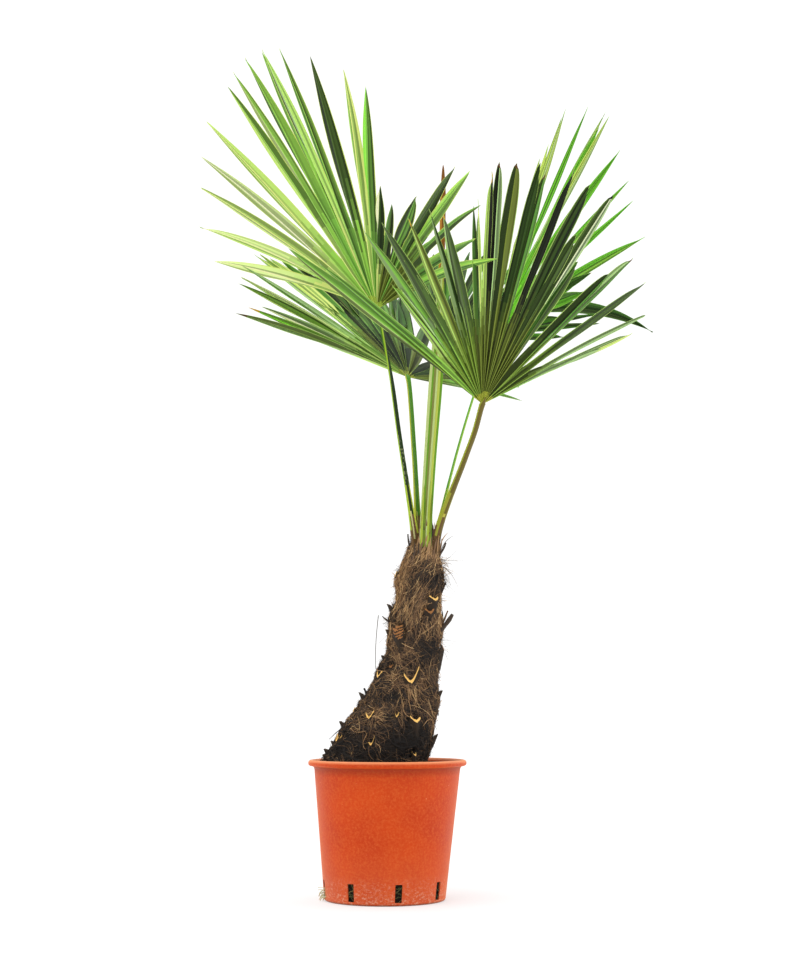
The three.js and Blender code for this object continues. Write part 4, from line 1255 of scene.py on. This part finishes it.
def pot_bearings():
    """Bearings round the pot in degrees, and how many there are for each slot, which comes first."""
    step = 360 / SLOTS["count"]
    half = math.degrees(math.asin(SLOTS["width"] / 2 / POT["foot"]))
    between = np.linspace(half, step - half, WALL_COLUMNS)[1:-1]
    each = np.concatenate([np.linspace(-half, half, SLOT_COLUMNS), between])
    return np.concatenate([SLOTS["first"] + k * step + each for k in range(SLOTS["count"])]), len(each)


def pot_profile():
    """Radius and height up the outside and down the inside, and how many of them are outside.

    Then come the rows where the slots start, on the outside and on the inside.
    """
    slot_heights = np.linspace(SLOTS["bottom"], SLOTS["top"], SLOT_ROWS)
    body = np.concatenate([[4.5], slot_heights, np.linspace(40, POT["under_rim"] - 5, 26)])
    outer = FOOT_PROFILE + [(pot_radius(z), z) for z in body]
    outer += [(POT["rim"] + out, POT["height"] + up) for out, up in RIM_PROFILE]
    inner = LIP_PROFILE + [(pot_radius(z) - POT["wall"], z) for z in body[::-1]] + FLOOR_PROFILE
    first_out = len(FOOT_PROFILE) + 1
    first_in = len(outer) + len(inner) - len(FLOOR_PROFILE) - 1 - SLOT_ROWS
    return np.array(outer + inner), len(outer), first_out, first_in


def add_slot_sides(shape, columns, left, first_out, first_in):
    """The faces through the wall round a slot whose left edge is the column left."""
    right, last_in = left + SLOT_COLUMNS - 1, first_in + SLOT_ROWS - 1
    quads = []
    for j in range(SLOT_ROWS - 1):
        low, high = (first_out + j) * columns, (first_out + j + 1) * columns
        low_in, high_in = (last_in - j) * columns, (last_in - j - 1) * columns
        quads.append([low + left, high + left, high_in + left, low_in + left])
        quads.append([low_in + right, high_in + right, high + right, low + right])
    bottom, bottom_in = first_out * columns, last_in * columns
    top, top_in = (first_out + SLOT_ROWS - 1) * columns, first_in * columns
    for a in range(left, right):
        quads.append([bottom_in + a, bottom_in + a + 1, bottom + a + 1, bottom + a])
        quads.append([top + a, top + a + 1, top_in + a + 1, top_in + a])
    shape.link(quads, 0, 0)


def make_pot(materials):
    """The pot: a lathed wall with a rolled rim, a rounded foot, a floor, and slots round the foot."""
    profile, outside, first_out, first_in = pot_profile()
    bearings, each = pot_bearings()
    turn = np.radians(bearings)
    columns = len(turn)
    r, z = profile[:, :1], profile[:, 1:]
    points = polar(r, turn, z)
    faces = grid_faces(len(profile), columns, closed=True)
    row, column = np.divmod(np.arange(len(faces)), columns)
    in_slot = (column % each) < SLOT_COLUMNS - 1
    out_rows = (row >= first_out) & (row < first_out + SLOT_ROWS - 1)
    in_rows = (row >= first_in) & (row < first_in + SLOT_ROWS - 1)
    keep = ~(in_slot & (out_rows | in_rows))
    kinds = np.where(row >= outside, 1, 0)
    places = stacked(turn * 120, np.arange(len(profile))[:, None] * 7.0)
    shape = Shape()
    shape.add(leaned(points), faces[keep], kinds[keep], places)
    for k in range(SLOTS["count"]):
        add_slot_sides(shape, columns, k * each, first_out, first_in)
    shape.build("nursery_pot", materials, ["pot"], crease=30)


def make_soil(materials):
    """The compost: a rough plug with a crumbly top."""
    side_rows, top_rows, columns = 34, 26, 160
    turn = np.linspace(0, 2 * np.pi, columns, endpoint=False)
    side = np.linspace(3.6, SOIL_TOP - 6, side_rows)
    radius = np.concatenate([pot_radius(side) - POT["wall"] - 1.0, np.linspace(123.6, 0.5, top_rows)])
    z = np.concatenate([side, SOIL_TOP - 6 + 6 * smooth(np.linspace(0, 1, top_rows) * 6)])
    radius, z = radius[:, None], z[:, None]
    flat = polar(radius, turn, z)
    rows = side_rows + top_rows
    top = smooth(np.arange(rows), side_rows - 1, side_rows + 3)[:, None]
    lump = noise(flat, 16, 3) * 3 + noise(flat, 5, 4) * 1.8
    points = flat.copy()
    points[..., 2] += top * (lump + 1.0)
    inward = (1 - top) * (0.8 + 0.8 * noise(flat, 6, 8))
    scale = 1 - inward / np.maximum(radius, 1)
    points[..., :2] *= scale[..., None]
    shape = Shape()
    shape.add(leaned(points), grid_faces(rows, columns, closed=True), 0)
    shape.cap(rows, columns)
    add_crumbs(shape, np.random.default_rng(51), 900)
    shape.build("compost", materials, ["soil"], crease=50)


def add_crumbs(shape, rng, count):
    """Crumbs of bark and compost on the soil: small uneven eight-sided stones."""
    bearing = rng.uniform(0, 2 * np.pi, count)
    distance = 121 * np.sqrt(rng.uniform(0.1, 1, count))
    height = SOIL_TOP + rng.uniform(0, 3.5, count)
    centre = polar(distance, bearing, height)
    corners = np.array([[1, 0, 0], [0, 1, 0], [-1, 0, 0], [0, -1, 0], [0, 0, 1], [0, 0, -1.0]])
    size = rng.uniform(1.0, 4.2, (count, 1, 1)) * rng.uniform(0.5, 1.2, (count, 6, 3))
    points = leaned(centre[:, None] + corners * size)
    upper = [[k, (k + 1) % 4, 4] for k in range(4)]
    lower = [[(k + 1) % 4, k, 5] for k in range(4)]
    start = np.arange(count)[:, None, None] * len(corners)
    kinds = np.repeat(rng.choice([0, 1, 2], count, p=(0.5, 0.35, 0.15)), len(upper + lower))
    shape.add(points, (np.array(upper + lower) + start).reshape(-1, 3), kinds)


SLOT_ROOTS, TUFT_ROOTS, ROOT_STEPS = 9, 16, 8


def make_roots(materials):
    """Roots pressed against the pot that show in its slots, and a tuft that hangs out at the left."""
    rng = np.random.default_rng(61)
    paths = []
    for k in range(SLOTS["count"]):
        middle = math.radians(SLOTS["first"] + k * 360 / SLOTS["count"])
        for _ in range(SLOT_ROOTS):
            z0 = rng.uniform(2, 40)
            s = np.linspace(-0.5, 0.5, ROOT_STEPS)
            z = np.clip(z0 + s * rng.normal(0, 16) + rng.normal(0, 0.8, ROOT_STEPS), 4, 44)
            turn = middle + s * rng.uniform(0.1, 0.22) + rng.normal(0, 0.012)
            radius = pot_radius(z) - POT["wall"] + rng.uniform(-0.6, 1.2)
            paths.append(polar(radius, turn, z))
    middle = math.radians(SLOTS["first"] - 90)
    for _ in range(TUFT_ROOTS):
        s = np.linspace(0, 1, ROOT_STEPS)
        reach, z0 = rng.uniform(4, 15), rng.uniform(8, 24)
        turn = middle + rng.normal(0, 0.03) + 0.05 * np.sin(s * rng.uniform(2, 7))
        radius = pot_radius(z0) - 4 + reach * s
        z = np.maximum(z0 + rng.normal(0, 3) * s - rng.uniform(0, 14) * s**2, 1.2)
        paths.append(polar(radius, turn, z))
    radii = rng.uniform(0.4, 1.0, (len(paths), 1)) * np.ones(ROOT_STEPS)
    pale = len(materials) - 1
    kinds = rng.choice(pale, len(paths))
    kinds[-TUFT_ROOTS:] = pale
    shape = Shape()
    add_tubes(shape, leaned(np.array(paths)), radii, 5, kinds)
    shape.build("roots", materials, crease=50)


# ------------------------------------------------------------------------------------ finishes

def pot_finish():
    """Terracotta-coloured plastic: cloudy, finely speckled, and dusty towards the foot."""
    finish = Finish("pot_plastic", (204, 62, 14), 0.5, 0.2)
    cloud = finish.texture(11, 4)
    mottle = finish.texture(240, 4, rough=0.7)
    patch = finish.ramp(finish.texture(190, 5, (1, 1, 1.4), rough=0.8), (0.5, 0.0), (0.66, 1.0))
    band, product = finish.height_band, finish.product
    layers = (  # where each one shows, and its colour
        (finish.ramp(mottle, (0.42, 0.0), (0.72, 0.55)), (222, 106, 42)),
        (finish.ramp(finish.texture(150, 2), (0.74, 0.0), (0.79, 0.7)), (228, 140, 96)),
        (product(band(0.0, 0.05, 1.0, 0.0), patch), (226, 188, 156)),
        (band(0.0, 0.10, 0.25, 0.0), (216, 116, 74)),
        # A painted shadow: a dark line along the very bottom of the foot, where it meets the floor.
        (band(0.0004, 0.004, 0.85, 0.0), (70, 36, 20)),
        # Painted shade: a dark band under the rim.
        (product(band(0.2285, 0.2292, 1.0, 0.0), band(0.213, 0.228, 0.0, 0.6)), (126, 34, 6)),
        # A painted highlight along the top of the rim.
        (band(0.2345, 0.2392, 0.0, 0.75), (248, 164, 112)),
    )
    colour = finish.ramp(cloud, (0.32, (195, 54, 1)), (0.68, (211, 69, 6)))
    for share, tint in layers:
        colour = finish.blend(share, colour, linear(tint))
    finish.use("Base Color", colour)
    finish.use("Roughness", finish.ramp(cloud, (0.3, 0.42), (0.7, 0.55)))
    finish.relief(mottle, 0.25, 0.0005)
    sheen = {"Sheen Weight": 0.42, "Sheen Roughness": 0.35, "Sheen Tint": linear((255, 158, 66))}
    for socket, value in sheen.items():
        finish.shader.inputs[socket].default_value = value
    return finish.material


def pot_inside_finish():
    """The inner wall, dark brown in uneven blotches."""
    finish = Finish("pot_inside", (120, 48, 24), 0.7, 0.3)
    blotches = finish.texture(45, 5, (1, 1, 0.6), rough=0.7)
    colour = finish.ramp(blotches, (0.35, (28, 16, 11)), (0.6, (70, 30, 15)), (0.8, (110, 46, 22)))
    finish.use("Base Color", colour)
    finish.relief(blotches, 0.3, 0.001)
    return finish.material


def bark_finish():
    """Dark bark with upright strands, in lighter and darker patches."""
    finish = Finish("stem_bark", (44, 34, 26), 0.9, 0.2)
    strands = finish.texture(260, 4, (1, 1, 0.35), rough=0.7)
    colour = finish.ramp(strands, (0.3, (30, 26, 24)), (0.55, (56, 46, 37)), (0.75, (92, 72, 53)))
    patches = finish.ramp(finish.texture(22, 3), (0.35, 0.0), (0.65, 1.0))
    finish.use("Base Color", finish.blend(patches, colour, linear((28, 24, 22))))
    finish.relief(strands, 0.8, 0.003)
    return finish.material


def plain_finish(name, colour, roughness=0.8):
    """A rough natural surface of one colour with a fine grain."""
    finish = Finish(name, colour, roughness, 0.25)
    fine = finish.texture(500, 3)
    finish.relief(fine, 0.4, 0.0006)
    finish.use("Roughness", finish.ramp(fine, (0.3, roughness - 0.1), (0.7, min(1.0, roughness + 0.1))))
    return finish.material


def plain_finishes(kind, colours):
    """One plain finish for each name, from its colour and roughness."""
    return [plain_finish(f"{kind}_{name}", *look) for name, look in colours.items()]


# ------------------------------------------------------------------------------------ studio

# Each light of the dome: where it comes from, how narrow it is, and how strong.
KEY_LIGHT = ((-0.28, -0.3, 0.912), 7, 2.9)
SIDE_LIGHT = ((0.93, 0.05, 0.36), 5, 1.3)
DOME_FRONT, DOME_BACK = 0.42, 1.1      # behind the viewer, and behind the plant
BACKDROP = 1.02         # as the camera sees it
FLOOR_HALF = 9.0        # in metres
FLOOR_GLOW = 0.44       # lifts the floor to the backdrop's white


def make_floor():
    """A plain pale floor that runs into the backdrop."""
    mesh = bpy.data.meshes.new("floor")
    corners = [(x * FLOOR_HALF, y * FLOOR_HALF, 0) for x, y in ((-1, -1), (1, -1), (1, 1), (-1, 1))]
    mesh.from_pydata(corners, [], [(0, 1, 2, 3)])
    finish = Finish("floor", (186, 186, 186), 0.8, 0.2)
    finish.shader.inputs["Emission Color"].default_value = (1, 1, 1, 1)
    finish.shader.inputs["Emission Strength"].default_value = FLOOR_GLOW
    finish.relief(finish.texture(40, 2), 0.02, 0.0005)
    mesh.materials.append(finish.material)
    floor = put_in_scene("floor", mesh)


def make_world():
    """A soft white studio dome: a broad light from above, a low one from the right, and a pale back.

    The backdrop itself shows as plain white.
    """
    world = bpy.data.worlds.new("studio")
    bpy.context.scene.world = world
    world.use_nodes = True
    tree = world.node_tree

    def join(operation, first, second):
        """One number from two."""
        return add_node(tree, "ShaderNodeMath", {0: first, 1: second}, operation=operation).outputs["Value"]

    direction = add_node(tree, "ShaderNodeTexCoord").outputs["Generated"]

    def lobe(toward, focus, power):
        """A soft light from one side, brightest in the direction given."""
        facing = add_node(tree, "ShaderNodeVectorMath", {0: direction, 1: toward}, operation="DOT_PRODUCT")
        return join("MULTIPLY", join("POWER", join("MAXIMUM", facing.outputs["Value"], 0.0), focus), power)

    depth = add_node(tree, "ShaderNodeSeparateXYZ", {"Vector": direction}).outputs["Y"]
    cove = add_node(tree, "ShaderNodeMapRange", {
        "Value": depth, "From Min": -0.4, "From Max": 0.6, "To Min": DOME_FRONT, "To Max": DOME_BACK,
    })
    strength = join("ADD", lobe(*KEY_LIGHT), cove.outputs["Result"])
    strength = join("ADD", strength, lobe(*SIDE_LIGHT))
    seen = add_node(tree, "ShaderNodeLightPath").outputs["Is Camera Ray"]
    strength = join("MAXIMUM", strength, join("MULTIPLY", seen, BACKDROP))
    background = tree.nodes["Background"].inputs
    background["Color"].default_value = (1, 1, 1, 1)
    tree.links.new(strength, background["Strength"])


def make_camera():
    """The camera that the photograph was fitted with."""
    data = bpy.data.cameras.new("camera")
    data.lens, data.sensor_width = CAMERA["lens"], 36
    data.clip_end = 50
    camera = put_in_scene("camera", data)
    camera.location = Vector(CAMERA["place"]) * MM
    camera.rotation_euler = Euler((math.radians(90 + CAMERA["pitch"]), 0, 0))
    bpy.context.scene.camera = camera


# ------------------------------------------------------------------------------------ the plant

make_camera()
for key, row in FRONDS.items():
    frond = {**FROND_HABITS, **row}
    make_blade(key, frond)
    make_stalk(key, frond, STALK_COLOURS[key])
make_spear()

cuts = all_cuts()
fibres = plain_finishes("fibre", {name: (colour,) for name, colour in FIBRES.items()})
make_stem_core(cuts, bark_finish())
make_cuts(cuts, plain_finishes("cut", {
    "old": ((74, 58, 44), 0.85), "pale": ((252, 200, 112), 0.7), "brown": ((156, 104, 58), 0.8),
    "side": ((52, 42, 33), 0.85),
}))
make_sticks(fibres)
make_fibres(cuts, fibres)
make_hairs(cuts, fibres)
make_sheaths(fibres)

make_pot([pot_finish(), pot_inside_finish()])
make_soil(plain_finishes("compost", {
    "dark": ((30, 24, 18), 0.95), "brown": ((58, 44, 30), 0.95), "bark": ((92, 70, 46), 0.9),
}))
make_roots(plain_finishes("root", {
    "tan": ((120, 104, 62),), "olive": ((74, 76, 44),), "dark": ((44, 42, 28),), "pale": ((206, 200, 160),),
}))

make_floor()
make_world()
bpy.context.scene.view_settings.view_transform = "Standard"
